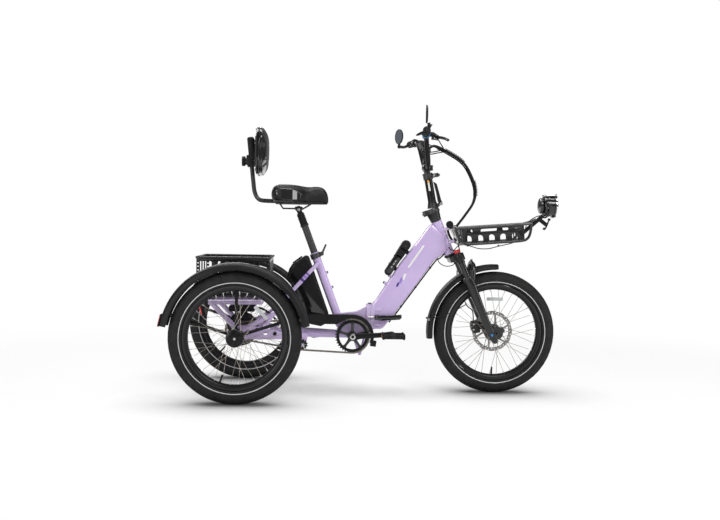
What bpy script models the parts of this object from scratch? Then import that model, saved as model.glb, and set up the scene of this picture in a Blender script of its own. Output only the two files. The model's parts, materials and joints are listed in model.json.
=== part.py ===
"""Adult folding tricycle: a step-through frame, sprung fork, folding stem, two baskets and three 20 inch wheels.

Metres, +Z up, +X to the front, +Y to the rider's left. Points are measured from the ground under
the middle of the rear axle, and the empty "tricycle" moves the whole model so that its box is
centred on the origin.
"""

import math

import bmesh
import bpy
from mathutils import Matrix, Vector

# Driving dimensions
CENTRE_X = 0.5385
WHEELBASE = 1.111
HALF_TRACK = 0.340
TYRE_RADIUS = 0.2675
TYRE_HALF_WIDTH = 0.033
BEAD_RADIUS = 0.2110
RIM_OUTER = 0.210
RIM_INNER = 0.188
RIM_HALF_WIDTH = 0.019
SPOKES = 8
GAP = 0.0003

HEAD = Vector((0.877, 0.0, 0.680))
HEAD_ANGLE = math.radians(67)
FORK_OFFSET = 0.0276
FORK_HALF = 0.060

SEAT_TOP = Vector((0.3133, 0.0, 0.606))
SEAT_ANGLE = math.radians(69.2)
POST_RADIUS = 0.0160

STEM_FOOT = Vector((0.832, 0.0, 0.806))
STEM_ANGLE = math.radians(79.3)

CRANK = Vector((0.483, 0.0, 0.248))
CRANK_LENGTH = 0.170
CRANK_TILT = math.radians(4)
IDLER = Vector((0.268, 0.0, 0.209))
AXLE = Vector((0.0, 0.0, TYRE_RADIUS))
FRONT_AXLE = Vector((WHEELBASE, 0.0, TYRE_RADIUS))
CHAIN_Y = -0.055
CHAINRING_ROOT = 0.0685
SPROCKET_ROOT = 0.0325
IDLER_ROOT = 0.0185
CHAIN_HEIGHT = 0.008

HINGE_X = 0.5620
HINGE_Y = 0.045
HINGE_LOW = 0.262
HINGE_HIGH = 0.382
FRONT_LOW = 0.276

BAR_CLAMP = Vector((0.7985, 0.0, 0.985))
BAR_END = 0.330
BAR_RADIUS = 0.0111


# Scene and materials
for old in list(bpy.data.objects):
    bpy.data.objects.remove(old, do_unlink=True)
PARTS = bpy.data.collections.new("adult_tricycle")
CUTTERS = bpy.data.collections.new("cutters")
bpy.context.scene.collection.children.link(PARTS)
bpy.context.scene.collection.children.link(CUTTERS)
ORIGIN = bpy.data.objects.new("tricycle", None)
ORIGIN.location = (-CENTRE_X, 0, 0)
PARTS.objects.link(ORIGIN)


def material(name, colour, roughness, metallic=0.0):
    made = bpy.data.materials.new(name)
    made.use_nodes = True
    shader = made.node_tree.nodes["Principled BSDF"]
    shader.inputs["Base Color"].default_value = (*colour, 1.0)
    shader.inputs["Roughness"].default_value = roughness
    shader.inputs["Metallic"].default_value = metallic
    return made


LAVENDER = ("lavender_paint", (0.58, 0.47, 0.78), 0.35)
BLACK_PAINT = ("black_paint", (0.015, 0.015, 0.016), 0.4)
BLACK_PLASTIC = ("black_plastic", (0.02, 0.02, 0.021), 0.55)
RUBBER = ("rubber", (0.025, 0.025, 0.026), 0.8)
STEEL = ("steel", (0.35, 0.34, 0.32), 0.35, 1.0)
LEATHER = ("black_leather", (0.012, 0.012, 0.013), 0.3)
RED = ("red_lens", (0.5, 0.02, 0.02), 0.25)


# Building blocks: each returns an object that isn't yet a named part
def add_mesh(mesh, location=(0, 0, 0)):
    piece = bpy.data.objects.new("piece", mesh)
    CUTTERS.objects.link(piece)
    piece.location = location
    return piece


def bmesh_piece(build, matrix=None):
    mesh = bpy.data.meshes.new("piece")
    made = bmesh.new()
    build(made)
    if matrix is not None:
        bmesh.ops.transform(made, matrix=matrix, verts=made.verts)
    made.to_mesh(mesh)
    made.free()
    return add_mesh(mesh)


def box(centre, size, tilt=0.0):
    """A box, turned about Y by the tilt."""
    place = Matrix.Translation(centre) @ Matrix.Rotation(tilt, 4, "Y")
    scale = Matrix.Diagonal((*size, 1.0))
    return bmesh_piece(lambda made: bmesh.ops.create_cube(made, size=1.0), place @ scale)


def rod(start, end, radius, end_radius=None, sides=10):
    """A round bar or cone between two points."""
    start = Vector(start)
    end = Vector(end)
    run = end - start
    turn = Vector((0, 0, 1)).rotation_difference(run).to_matrix().to_4x4()
    place = Matrix.Translation((start + end) / 2) @ turn
    last = radius if end_radius is None else end_radius

    def build(made):
        bmesh.ops.create_cone(
            made, cap_ends=True, segments=sides, radius1=radius, radius2=last, depth=run.length
        )

    return bmesh_piece(build, place)


def across(x, z, near, far, radius, sides=10):
    """A round bar along Y."""
    return rod((x, near, z), (x, far, z), radius, sides=sides)


def hole(start, end, radius, clearance=GAP, sides=14):
    """A cutter that clears a round bar of this radius whichever way its flats face."""
    return rod(start, end, (radius + clearance) / math.cos(math.pi / sides), sides=sides)


def hole_across(centre, near, far, radius, clearance=GAP):
    return hole((centre.x, near, centre.z), (centre.x, far, centre.z), radius, clearance)


def as_mesh(curve_object):
    """The curve as a closed mesh, with its caps welded on."""
    bpy.context.view_layer.update()
    seen = curve_object.evaluated_get(bpy.context.evaluated_depsgraph_get())
    mesh = bpy.data.meshes.new_from_object(seen)
    welded = bmesh.new()
    welded.from_mesh(mesh)
    bmesh.ops.remove_doubles(welded, verts=welded.verts, dist=0.00002)
    bmesh.ops.recalc_face_normals(welded, faces=welded.faces)
    welded.to_mesh(mesh)
    welded.free()
    piece = add_mesh(mesh)
    piece.matrix_world = curve_object.matrix_world
    bpy.data.objects.remove(curve_object, do_unlink=True)
    return piece


def smooth_route(points, per_span):
    """Points along a Catmull-Rom curve through the route's own points."""
    route = [Vector(point) for point in points]
    padded = [route[0] * 2 - route[1], *route, route[-1] * 2 - route[-2]]
    found = []
    for k in range(len(route) - 1):
        a, b, c, d = padded[k : k + 4]
        for step in range(per_span):
            t = step / per_span
            found.append(
                0.5 * (2 * b + (c - a) * t + (2 * a - 5 * b + 4 * c - d) * t**2
                       + (3 * b - a - 3 * c + d) * t**3)
            )
    found.append(route[-1])
    return found


def pipe(points, radius, per_span=4, closed=False, resolution=1):
    """A bent tube through the points; per_span 1 keeps the corners sharp."""
    route = smooth_route(points, per_span) if per_span > 1 else [Vector(point) for point in points]
    curve = bpy.data.curves.new("piece", "CURVE")
    curve.dimensions = "3D"
    curve.bevel_depth = radius
    curve.bevel_resolution = resolution
    curve.use_fill_caps = True
    spline = curve.splines.new("POLY")
    spline.points.add(len(route) - 1)
    for point, place in zip(spline.points, route):
        point.co = (*place, 1.0)
    spline.use_cyclic_u = closed
    piece = bpy.data.objects.new("piece", curve)
    CUTTERS.objects.link(piece)
    return as_mesh(piece)


def plate(outlines, y, half):
    """A flat plate in the X-Z plane; any outline after the first is a hole."""
    curve = bpy.data.curves.new("piece", "CURVE")
    curve.dimensions = "2D"
    curve.fill_mode = "BOTH"
    curve.extrude = half
    for outline in outlines:
        spline = curve.splines.new("POLY")
        spline.points.add(len(outline) - 1)
        for point, (x, z) in zip(spline.points, outline):
            point.co = (x, z, 0.0, 1.0)
        spline.use_cyclic_u = True
    piece = bpy.data.objects.new("piece", curve)
    CUTTERS.objects.link(piece)
    piece.rotation_euler = (math.radians(90), 0, 0)
    piece.location = (0, y, 0)
    return as_mesh(piece)


def circle(x, z, radius, count=24, start=0.0, stop=math.tau):
    """Points round an arc, without its last point when it is a full circle."""
    last = count if abs(stop - start - math.tau) < 1e-6 else count - 1
    turn = [start + (stop - start) * k / last for k in range(count)]
    return [(x + radius * math.cos(a), z + radius * math.sin(a)) for a in turn]


def turned(profile, centre, steps=48, angle=math.tau, start=0.0, closed=True):
    """A profile of (radius, y) points, from +y to -y outside, turned clockwise about an axis along Y."""
    mesh = bpy.data.meshes.new("piece")
    count = len(profile)
    joints = [(k, (k + 1) % count) for k in range(count if closed else count - 1)]
    mesh.from_pydata([(radius, 0, y) for radius, y in profile], joints, [])
    piece = add_mesh(mesh)
    screw = piece.modifiers.new("turn", "SCREW")
    screw.angle = angle
    screw.steps = steps
    screw.render_steps = steps
    screw.use_merge_vertices = True
    screw.merge_threshold = 0.00001
    piece.matrix_world = (
        Matrix.Translation(centre) @ Matrix.Rotation(-start, 4, "Y") @ Matrix.Rotation(math.radians(-90), 4, "X")
    )
    return piece


def shell(piece, thickness):
    skin = piece.modifiers.new("skin", "SOLIDIFY")
    skin.thickness = thickness
    skin.offset = 0
    return piece


def soften(piece, width, segments=2, angle=40):
    bevel = piece.modifiers.new("edges", "BEVEL")
    bevel.width = width
    bevel.segments = segments
    bevel.limit_method = "ANGLE"
    bevel.angle_limit = math.radians(angle)
    return piece


def combine(base, pieces, operation):
    for piece in pieces:
        boolean = base.modifiers.new(operation.lower(), "BOOLEAN")
        boolean.operation = operation
        boolean.object = piece
        piece.hide_render = True
        piece.display_type = "WIRE"
    return base


def join(base, *pieces):
    return combine(base, pieces, "UNION")


def cut(base, *pieces):
    return combine(base, pieces, "DIFFERENCE")


def carry(piece):
    """Parent a piece, and every tool that its Booleans use, to the tricycle's origin."""
    piece.parent = ORIGIN
    for modifier in piece.modifiers:
        if modifier.type == "BOOLEAN":
            carry(modifier.object)


def part(name, piece, look, pivot=None):
    """Name a finished piece, give it its material and put its origin on its joint's axis."""
    carry(piece)
    if pivot is not None:
        shift = Vector(pivot) - piece.location
        turn = piece.matrix_world.to_3x3().inverted()
        piece.data.transform(Matrix.Translation(turn @ -shift))
        piece.location = Vector(pivot)
    piece.name = name
    piece.data.name = name
    piece.data.materials.clear()
    found = bpy.data.materials.get(look[0]) or material(*look)
    piece.data.materials.append(found)
    piece.data.shade_smooth()
    piece.data.set_sharp_from_angle(angle=math.radians(40))
    CUTTERS.objects.unlink(piece)
    PARTS.objects.link(piece)
    return piece


# Places along the three leaning axes
def on_head(forward, y, up):
    """A point measured square to and along the steering axis."""
    across_axis = Vector((math.sin(HEAD_ANGLE), 0, math.cos(HEAD_ANGLE)))
    along_axis = Vector((-math.cos(HEAD_ANGLE), 0, math.sin(HEAD_ANGLE)))
    return HEAD + across_axis * forward + along_axis * up + Vector((0, y, 0))


def on_seat(forward, y, up):
    """A point measured square to and along the seat tube, from its top."""
    across_axis = Vector((math.sin(SEAT_ANGLE), 0, math.cos(SEAT_ANGLE)))
    along_axis = Vector((-math.cos(SEAT_ANGLE), 0, math.sin(SEAT_ANGLE)))
    return SEAT_TOP + across_axis * forward + along_axis * up + Vector((0, y, 0))


def on_stem(forward, y, up):
    """A point measured square to and along the stem."""
    across_axis = Vector((math.sin(STEM_ANGLE), 0, math.cos(STEM_ANGLE)))
    along_axis = Vector((-math.cos(STEM_ANGLE), 0, math.sin(STEM_ANGLE)))
    return STEM_FOOT + across_axis * forward + along_axis * up + Vector((0, y, 0))


def at(x, z, y=0.0):
    return Vector((x, y, z))


# Rear frame, which carries everything else
def rear_frame():
    truss_y = 0.115
    tube = rod(on_seat(0, 0, 0), on_seat(0, 0, -0.312), 0.019, sides=10)
    beam = rod((0.15, 0, 0.262), (0.47, 0, 0.250), 0.024, 0.0165)
    lug = plate(
        [[(0.400, 0.350), (0.430, 0.341), (0.502, 0.349), (0.548, 0.372), (0.550, 0.262),
          (0.520, 0.246), (0.483, 0.235), (0.440, 0.248), (0.405, 0.300)]], 0, 0.025
    )
    flange = box((HINGE_X - 0.009, 0, (HINGE_LOW + HINGE_HIGH) / 2),
                 (0.017, 0.068, HINGE_HIGH - HINGE_LOW))
    shell_bb = across(CRANK.x, CRANK.z, -0.036, 0.036, 0.023)
    foot = [rod((0.492, 0, 0.235), (0.519, 0, 0.160), 0.006, sides=10),
            rod((0.546, 0, 0.268), (0.519, 0, 0.160), 0.006, sides=10)]
    knuckles = []
    for low, high in ((HINGE_LOW, HINGE_LOW + 0.028), (HINGE_HIGH - 0.028, HINGE_HIGH)):
        knuckles.append(rod((HINGE_X, HINGE_Y, low), (HINGE_X, HINGE_Y, high), 0.0098))
        knuckles.append(box((HINGE_X - 0.0095, 0.037, (low + high) / 2), (0.015, 0.014, high - low - 0.002)))
    pin = rod((HINGE_X, HINGE_Y, HINGE_LOW + 0.01), (HINGE_X, HINGE_Y, HINGE_HIGH - 0.01), 0.004, sides=10)
    idler_plate = plate([[(0.236, 0.250), (0.290, 0.250), (0.282, 0.200), (0.254, 0.200)]], -0.040, 0.003)
    idler_boss = box((0.263, -0.022, 0.250), (0.050, 0.040, 0.014))
    idler_pin = across(IDLER.x, IDLER.z, -0.066, -0.038, 0.004, 12)
    truss = []
    for side in (-1, 1):
        y = side * truss_y
        truss += [
            rod((0, y, AXLE.z), (-0.122, y, 0.392), 0.011, sides=10),
            rod((-0.132, y, 0.393), (0.095, y, 0.395), 0.011, sides=10),
            rod((0, y, AXLE.z), (0.150, y, 0.350), 0.010, sides=10),
            plate([[(-0.034, 0.250), (-0.020, 0.292), (0.020, 0.296), (0.100, 0.288),
                    (0.190, 0.266), (0.190, 0.238), (0.030, 0.236)],
                   circle(0.110, 0.264, 0.011, 6)], y, 0.004),
        ]
    half_stay = [(0.104, 0.115, 0.288), (0.150, 0.106, 0.356), (0.225, 0.058, 0.446), (0.300, 0.0535, 0.530),
                 (0.322, 0.044, 0.551), (0.333, 0.0, 0.566)]
    stays = pipe(half_stay + [(x, -y, z) for x, y, z in half_stay[-2::-1]], 0.009, 1)
    cross = [
        across(-0.122, 0.393, -truss_y, truss_y, 0.010, 12),
        across(0.090, 0.395, -truss_y, truss_y, 0.010, 12),
        across(0.172, 0.254, -truss_y, truss_y, 0.013, 12),
        across(0, AXLE.z, -0.296, 0.296, 0.020, 18),
    ]
    whole = join(tube, beam, lug, flange, shell_bb, *foot, *knuckles, pin, idler_plate, idler_boss,
                 idler_pin, *truss, stays, *cross)
    cut(whole,
        hole(on_seat(0, 0, 0.01), on_seat(0, 0, -0.265), POST_RADIUS),
        hole_across(AXLE, -0.31, 0.31, 0.0100),
        hole_across(CRANK, -0.05, 0.05, 0.0120))
    part("rear_frame", whole, LAVENDER)


def seat_collar():
    ring = rod(on_seat(0, 0, -0.026), on_seat(0, 0, -0.004), 0.0235, sides=10)
    ears = box(on_seat(0.027, 0, -0.015), (0.016, 0.018, 0.018), SEAT_ANGLE - math.pi / 2)
    join(ring, ears)
    cut(ring, hole(on_seat(0, 0, -0.03), on_seat(0, 0, 0.01), 0.0190))
    part("seat_collar", ring, BLACK_PAINT)
    pivot = on_seat(0.030, -0.0145, -0.015)
    barrel = rod(pivot + Vector((0, -0.005, 0)), pivot + Vector((0, 0.005, 0)), 0.008)
    handle = rod(pivot, pivot + Vector((0.004, -0.002, 0.010)) * 4, 0.005, 0.004, sides=10)
    part("seat_clamp_lever", join(barrel, handle), BLACK_PAINT, pivot)


def hull_of_circles(wheels, offset):
    """The outline of a chain round toothed wheels, given anticlockwise as (x, z, radius)."""
    sides = []
    for k, (x1, z1, r1) in enumerate(wheels):
        x2, z2, r2 = wheels[(k + 1) % len(wheels)]
        heading = math.atan2(z2 - z1, x2 - x1)
        lean = math.asin((r1 - r2) / math.hypot(x2 - x1, z2 - z1))
        sides.append(heading - math.pi / 2 + lean)
    outline = []
    for k, (x, z, radius) in enumerate(wheels):
        start, stop = sides[k - 1], sides[k]
        stop += math.tau * math.ceil((start - stop) / math.tau)
        count = 3 + int((stop - start) * 5)
        outline += circle(x, z, radius + offset, count, start, stop)
    return outline


def chain_line():
    wheels = [(IDLER.x, IDLER.z, IDLER_ROOT), (CRANK.x, CRANK.z, CHAINRING_ROOT), (AXLE.x, AXLE.z, SPROCKET_ROOT)]
    inner = hull_of_circles(wheels, 0.0006)
    outer = hull_of_circles(wheels, 0.0006 + CHAIN_HEIGHT)
    part("drive_chain", plate([outer, inner], CHAIN_Y, 0.004), STEEL)

    ring = plate([circle(CRANK.x, CRANK.z, CHAINRING_ROOT, 32), circle(CRANK.x, CRANK.z, 0.056, 24)],
                 CHAIN_Y, 0.002)
    spider = [across(CRANK.x, CRANK.z, CHAIN_Y - 0.003, CHAIN_Y + 0.003, 0.019)]
    for k in range(5):
        turn = math.radians(90 + 72 * k)
        out = Vector((math.cos(turn), 0, math.sin(turn)))
        centre = CRANK + out * 0.037 + Vector((0, CHAIN_Y, 0))
        spider.append(box(centre, (0.046, 0.0036, 0.014), -turn))
    join(ring, *spider)
    cut(ring, hole_across(CRANK, CHAIN_Y - 0.01, CHAIN_Y + 0.01, 0.0120))
    part("chainring", ring, BLACK_PAINT, CRANK)

    for name, centre, root, bore, half in (("rear_sprocket", AXLE, SPROCKET_ROOT, 0.0204, 0.006),
                                           ("idler_wheel", IDLER, IDLER_ROOT, 0.0044, 0.005)):
        wheel = plate([circle(centre.x, centre.z, root, 32), circle(centre.x, centre.z, bore, 24)],
                      CHAIN_Y, half)
        part(name, wheel, STEEL if bore > 0.01 else BLACK_PLASTIC, centre)


def chain_guard():
    x, z = CRANK.x, CRANK.z
    start = math.radians(-20)
    rim = plate([[*circle(x, z, 0.093, 16, start, math.pi / 2), (0.294, 0.341), (0.294, 0.3285),
                  *circle(x, z, 0.0805, 16, math.pi / 2, start)]], -0.0555, 0.0140)
    face = plate([[*circle(x, z, 0.0925, 16, start, math.pi / 2), (0.294, 0.3405), (0.290, 0.300),
                   (0.415, 0.300), (x - 0.0345, z + 0.0695), *circle(x, z, 0.078, 12, math.pi * 0.6, start)]],
                 -0.0683, 0.0015)
    block = box((x + 0.091, -0.055, z - 0.031), (0.024, 0.028, 0.024), math.radians(8))
    bracket = box((0.425, -0.0395, 0.334), (0.05, 0.028, 0.010))
    part("chain_guard", join(rim, face, block, bracket), BLACK_PLASTIC)


def cranks():
    out = Vector((math.cos(CRANK_TILT), 0, math.sin(CRANK_TILT)))
    for side, name in ((-1, "right"), (1, "left")):
        y = side * 0.082
        far = CRANK + out * (CRANK_LENGTH * -side)
        arm = box((CRANK + far) / 2 + Vector((0, y, 0)), (CRANK_LENGTH, 0.013, 0.024), -CRANK_TILT)
        ends = [across(CRANK.x, CRANK.z, y - 0.008, y + 0.008, 0.018),
                across(far.x, far.z, y - 0.0065, y + 0.0065, 0.014)]
        join(arm, *ends)
        if side < 0:
            join(arm, across(CRANK.x, CRANK.z, -0.080, 0.089, 0.0120))
            cut(arm, hole_across(far, y - 0.01, y + 0.01, 0.0050))
        else:
            cut(arm, hole_across(CRANK, y - 0.02, y + 0.02, 0.0120),
                hole_across(far, y - 0.01, y + 0.01, 0.0050))
        part("crank_" + name, arm, BLACK_PAINT, CRANK)
        middle = far + Vector((0, side * 0.142, 0))
        tread = box(middle, (0.098, 0.090, 0.026))
        part("pedal_" + name,
             join(tread, across(far.x, far.z, *sorted((side * 0.078, side * 0.120)), 0.0050, 12)),
             BLACK_PLASTIC, far)


def battery():
    body = plate([[(0.205, 0.535), (0.216, 0.553), (0.270, 0.591), (0.281, 0.594), (0.291, 0.586),
                   (0.378, 0.345), (0.381, 0.318), (0.370, 0.300), (0.346, 0.287), (0.298, 0.296),
                   (0.196, 0.500)]], 0, 0.040)
    part("battery", soften(body, 0.008), BLACK_PLASTIC)


def rear_drive():
    motor = across(AXLE.x, AXLE.z, -0.040, 0.085, 0.068, 32)
    join(motor, across(AXLE.x, AXLE.z, 0.080, 0.100, 0.045, 24))
    cut(motor, hole_across(AXLE, -0.05, 0.12, 0.0200))
    part("drive_motor", soften(motor, 0.004, 1), BLACK_PAINT)
    part("controller_box", soften(box((0.005, 0, 0.3625), (0.110, 0.150, 0.026)), 0.004, 1), BLACK_PLASTIC)
    lamp = box((-0.168, 0, 0.352), (0.020, 0.090, 0.055), math.radians(-15))
    arm = box((-0.150, 0, 0.3715), (0.040, 0.030, 0.006), math.radians(-40))
    part("tail_light", join(lamp, arm), RED)


# Wheels, each in a pair of planes either side of its middle
def wheel(label, centre, axle_near, axle_far, flanges, axle_radius):
    y = centre.y
    count = 7
    span = [math.radians(-134 + 268 * k / (count - 1)) for k in range(count)]
    tyre_middle = TYRE_RADIUS - TYRE_HALF_WIDTH
    profile = [(max(BEAD_RADIUS, tyre_middle + TYRE_HALF_WIDTH * math.cos(a)), -TYRE_HALF_WIDTH * math.sin(a))
               for a in span]
    part(label + "_tyre", turned(profile, centre, 32), RUBBER, centre)
    half = RIM_HALF_WIDTH
    rim = [(RIM_OUTER - 0.0015, half), (RIM_OUTER - 0.0015, -half), (RIM_INNER, -half * 0.6), (RIM_INNER, half * 0.6)]
    part(label + "_rim", turned(rim, centre, 32), BLACK_PAINT, centre)
    low, high = flanges
    body = across(centre.x, centre.z, low - 0.004, high + 0.004, 0.019, 20)
    pieces = [across(centre.x, centre.z, low - 0.003, low + 0.002, 0.031, 20),
              across(centre.x, centre.z, high - 0.002, high + 0.003, 0.031, 20),
              across(centre.x, centre.z, axle_near, axle_far, axle_radius, 16)]
    for k in range(SPOKES):
        turn = math.tau * k / SPOKES + 0.1
        out = Vector((math.cos(turn), 0, math.sin(turn)))
        foot = centre + out * 0.028
        foot.y = low if k % 2 else high
        tip = centre + out * (RIM_INNER - 0.0018)
        tip.y = y
        pieces.append(rod(foot, tip, 0.0013, sides=4))
    part(label + "_hub", join(body, *pieces), STEEL, centre)


def fender(name, centre, outer, half_width, lip, start, stop, extras):
    profile = [(outer - lip, half_width), (outer - 0.010, half_width - 0.001), (outer, half_width * 0.6),
               (outer, -half_width * 0.6), (outer - 0.010, -half_width + 0.001), (outer - lip, -half_width)]
    skin = turned(profile, centre, 14, math.radians(stop - start), math.radians(stop), closed=False)
    shell(skin, 0.002)
    part(name, join(skin, *extras), BLACK_PLASTIC)


def rear_fenders():
    for side, label in ((-1, "right"), (1, "left")):
        centre = AXLE + Vector((0, side * HALF_TRACK, 0))
        y = side * (HALF_TRACK - 0.0450)
        collar = across(0, AXLE.z, y - 0.0030, y + 0.0030, 0.034, 20)
        cut(collar, hole_across(AXLE, y - 0.01, y + 0.01, 0.0200))
        arms = [collar]
        for degrees in (18, 90, 162):
            turn = math.radians(degrees)
            out = Vector((math.cos(turn), 0, math.sin(turn)))
            arms.append(box(AXLE + out * 0.160 + Vector((0, y, 0)), (0.264, 0.005, 0.014), -turn))
        fender("rear_fender_" + label, centre, 0.303, 0.042, 0.030, 10, 171, arms)


def windowed_tray(x_range, half, z_range, skin, windows_per_side, window):
    """A tray with flat sides and rows of windows through them."""
    (x1, x2), (z1, z2) = x_range, z_range
    middle = ((x1 + x2) / 2, 0, (z1 + z2) / 2)
    tray = box(middle, (x2 - x1, 2 * half, z2 - z1))
    inside = box((middle[0], 0, middle[2] + skin), (x2 - x1 - 2 * skin, 2 * (half - skin), z2 - z1))
    holes = [inside]
    width, height = window
    for k in range(windows_per_side):
        x = x1 + (x2 - x1) * (k + 0.5) / windows_per_side
        holes.append(box((x, 0, middle[2]), (width, 2 * half + 0.02, height)))
        y = (k - (windows_per_side - 1) / 2) * 2 * half / windows_per_side
        holes.append(box((middle[0], y, middle[2]), (x2 - x1 + 0.02, width, height)))
    slots = windows_per_side - 1
    for k in range(slots):
        y = (k - (slots - 1) / 2) * 2 * half / slots
        holes.append(box((middle[0], y, z1), ((x2 - x1) * 0.8, width * 0.7, 0.02)))
    return cut(tray, *holes)


def rear_basket():
    x1, x2, half = -0.176, 0.128, 0.188
    tray = windowed_tray((x1, x2), half, (0.420, 0.582), 0.004, 4, (0.044, 0.090))
    z = 0.582
    ring = pipe([(x1, -half, z), (x2, -half, z), (x2, half, z), (x1, half, z)], 0.006, 1, closed=True)
    legs = [across(x, 0.4150, -0.115, 0.115, 0.0085, 12) for x in (-0.110, 0.070)]
    part("rear_basket", join(tray, ring, *legs), BLACK_PAINT)


# Front frame, which folds on the hinge
def front_frame():
    beam = plate([[(0.826, 0.743), (0.806, 0.721), (0.779, 0.680), (0.692, 0.567), (0.600, 0.424),
                   (0.585, 0.400), (0.566, HINGE_HIGH), (0.566, FRONT_LOW), (0.616, FRONT_LOW),
                   (0.673, 0.351), (0.758, 0.468), (0.838, 0.580), (0.866, 0.601), (0.895, 0.620),
                   (0.880, 0.690)]], 0, 0.031)
    soften(beam, 0.012, 2)
    flange = box((HINGE_X + 0.0095, 0, (FRONT_LOW + HINGE_HIGH) / 2), (0.018, 0.068, HINGE_HIGH - FRONT_LOW))
    low, high = HINGE_LOW + 0.0285, HINGE_HIGH - 0.0285
    knuckle = rod((HINGE_X, HINGE_Y, low), (HINGE_X, HINGE_Y, high), 0.0098)
    web = box((HINGE_X + 0.0095, 0.037, (low + high) / 2), (0.015, 0.014, high - low - 0.002))
    tube = rod(on_head(0, 0, -0.077), on_head(0, 0, 0.077), 0.0235, sides=10)
    bosses = [rod(on_head(0.015, y, up), on_head(0.040, y, up), 0.0065, sides=10)
              for up in (0.030, -0.030) for y in (-0.013, 0.013)]
    whole = join(beam, flange, knuckle, web, tube, *bosses)
    cut(whole,
        rod(on_head(0, 0, -0.09), on_head(0, 0, 0.09), 0.0180, sides=10),
        rod((HINGE_X, HINGE_Y, HINGE_LOW), (HINGE_X, HINGE_Y, HINGE_HIGH), 0.0044, sides=10))
    part("front_frame", whole, LAVENDER)

    pivot = at(0.588, 0.330, -0.048)
    hub = rod(pivot + Vector((0, 0, -0.010)), pivot + Vector((0, 0, 0.010)), 0.010)
    handle = box(at(0.640, 0.331, -0.050), (0.112, 0.010, 0.016), math.radians(-4))
    part("frame_latch_lever", soften(join(hub, handle), 0.002, 1), BLACK_PAINT, pivot)


def front_rack():
    x1, x2, half, low, high = 0.945, 1.205, 0.125, 0.652, 0.722
    tray = windowed_tray((x1, x2), half, (low, high), 0.004, 3, (0.056, 0.030))
    rails = []
    for side in (-1, 1):
        y = side * (half + 0.0005)
        rails.append(rod((0.915, y, high), (1.240, y, high), 0.006, sides=8))
        rails.append(pipe([(0.918, y, high), (0.930, y, low + 0.030), (0.960, y, low + 0.001), (1.000, y, low - 0.001),
                           (1.192, y, low - 0.001), (1.222, y, low + 0.009), (1.238, y, high - 0.030), (1.240, y, high)],
                          0.0058, 1))
    rails += [rod((x, -half - 0.004, high), (x, half + 0.004, high), 0.0065, sides=8) for x in (0.915, 1.240)]
    rails.append(rod((0.952, 0.002 - half, low + 0.006), (0.952, half - 0.002, low + 0.006), 0.0055, sides=8))
    lamp_arm = pipe([(1.236, 0, high), (1.270, 0, high + 0.006), (1.296, 0, high + 0.016)], 0.008, 2)
    join(tray, *rails, lamp_arm)
    tray.matrix_world = (Matrix.Translation((0.915, 0, 0.722)) @ Matrix.Rotation(math.radians(-4.5), 4, "Y")
                         @ Matrix.Translation((-0.915, 0, -0.722)))
    for modifier in tray.modifiers:
        modifier.object.matrix_world = tray.matrix_world @ modifier.object.matrix_world
    bracket = [rod(on_head(0.0403, y, up), on_head(0.052, y, up), 0.0065, sides=10)
               for up in (0.030, -0.030) for y in (-0.013, 0.013)]
    back = box(on_head(0.0535, 0, 0.0), (0.006, 0.044, 0.090), HEAD_ANGLE - math.pi / 2)
    link = box(on_head(0.0595, 0, -0.0445), (0.016, 0.030, 0.012), HEAD_ANGLE - math.pi / 2)
    join(tray, *bracket, back, link)
    part("front_rack", tray, BLACK_PAINT)

    body = rod((1.3010, 0, 0.828), (1.3700, 0, 0.826), 0.048, sides=10)
    lens = rod((1.3690, 0, 0.826), (1.3800, 0, 0.826), 0.044, sides=10)
    visor = box((1.352, 0, 0.8725), (0.050, 0.066, 0.005))
    foot = box((1.3225, 0, 0.7710), (0.048, 0.026, 0.036))
    part("headlight", join(body, lens, visor, foot), BLACK_PLASTIC)


def folding_lock():
    ends = (at(0.634, 0.511), at(0.735, 0.668))
    axis = (ends[1] - ends[0]).normalized()
    square = Vector((-axis.z, 0, axis.x))
    case = box((ends[0] + ends[1]) / 2, (0.186, 0.030, 0.034), -math.atan2(axis.z, axis.x))
    lugs = [box(ends[0] + axis * t + square * 0.008, (0.020, 0.036, 0.0185), -math.atan2(axis.z, axis.x))
            for t in (0.045, 0.135)]
    part("folding_lock", join(soften(case, 0.010), *lugs), BLACK_PLASTIC)


# Steering: crown and stanchions turn in the head tube, and the lowers slide on the stanchions
def steering():
    top, bottom = 0.0785, -0.0785
    steerer = rod(on_head(0, 0, bottom - 0.020), on_head(0, 0, top + 0.012), 0.0143, sides=10)
    race = rod(on_head(0, 0, bottom - 0.012), on_head(0, 0, bottom), 0.0225, sides=10)
    tilt = HEAD_ANGLE - math.pi / 2
    crown = [box(on_head(0.012, 0, bottom - 0.022), (0.050, 0.104, 0.024), tilt)]
    for y in (-FORK_HALF, FORK_HALF):
        crown += [rod(on_head(FORK_OFFSET, y, -0.118), on_head(FORK_OFFSET, y, -0.088), 0.019, sides=10),
                  rod(on_head(FORK_OFFSET, y, -0.310), on_head(FORK_OFFSET, y, -0.100), 0.0145, sides=10),
                  rod(on_head(FORK_OFFSET, y, -0.090), on_head(FORK_OFFSET, y, -0.080), 0.012, sides=10)]
    part("fork_crown", join(steerer, race, *crown), BLACK_PAINT)

    base = rod(on_head(0, 0, top), on_head(0, 0, 0.118), 0.0235, 0.030, sides=10)
    rim = rod(on_head(0, 0, 0.117), on_head(0, 0, 0.127), 0.033, sides=10)
    ear = box(on_head(-0.033, 0, 0.121), (0.020, 0.020, 0.012), tilt)
    join(base, rim, ear)
    cut(base, rod(on_head(0, 0, 0.06), on_head(0, 0, top + 0.0135), 0.0147, sides=10))
    part("stem_base", base, BLACK_PAINT)


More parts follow.
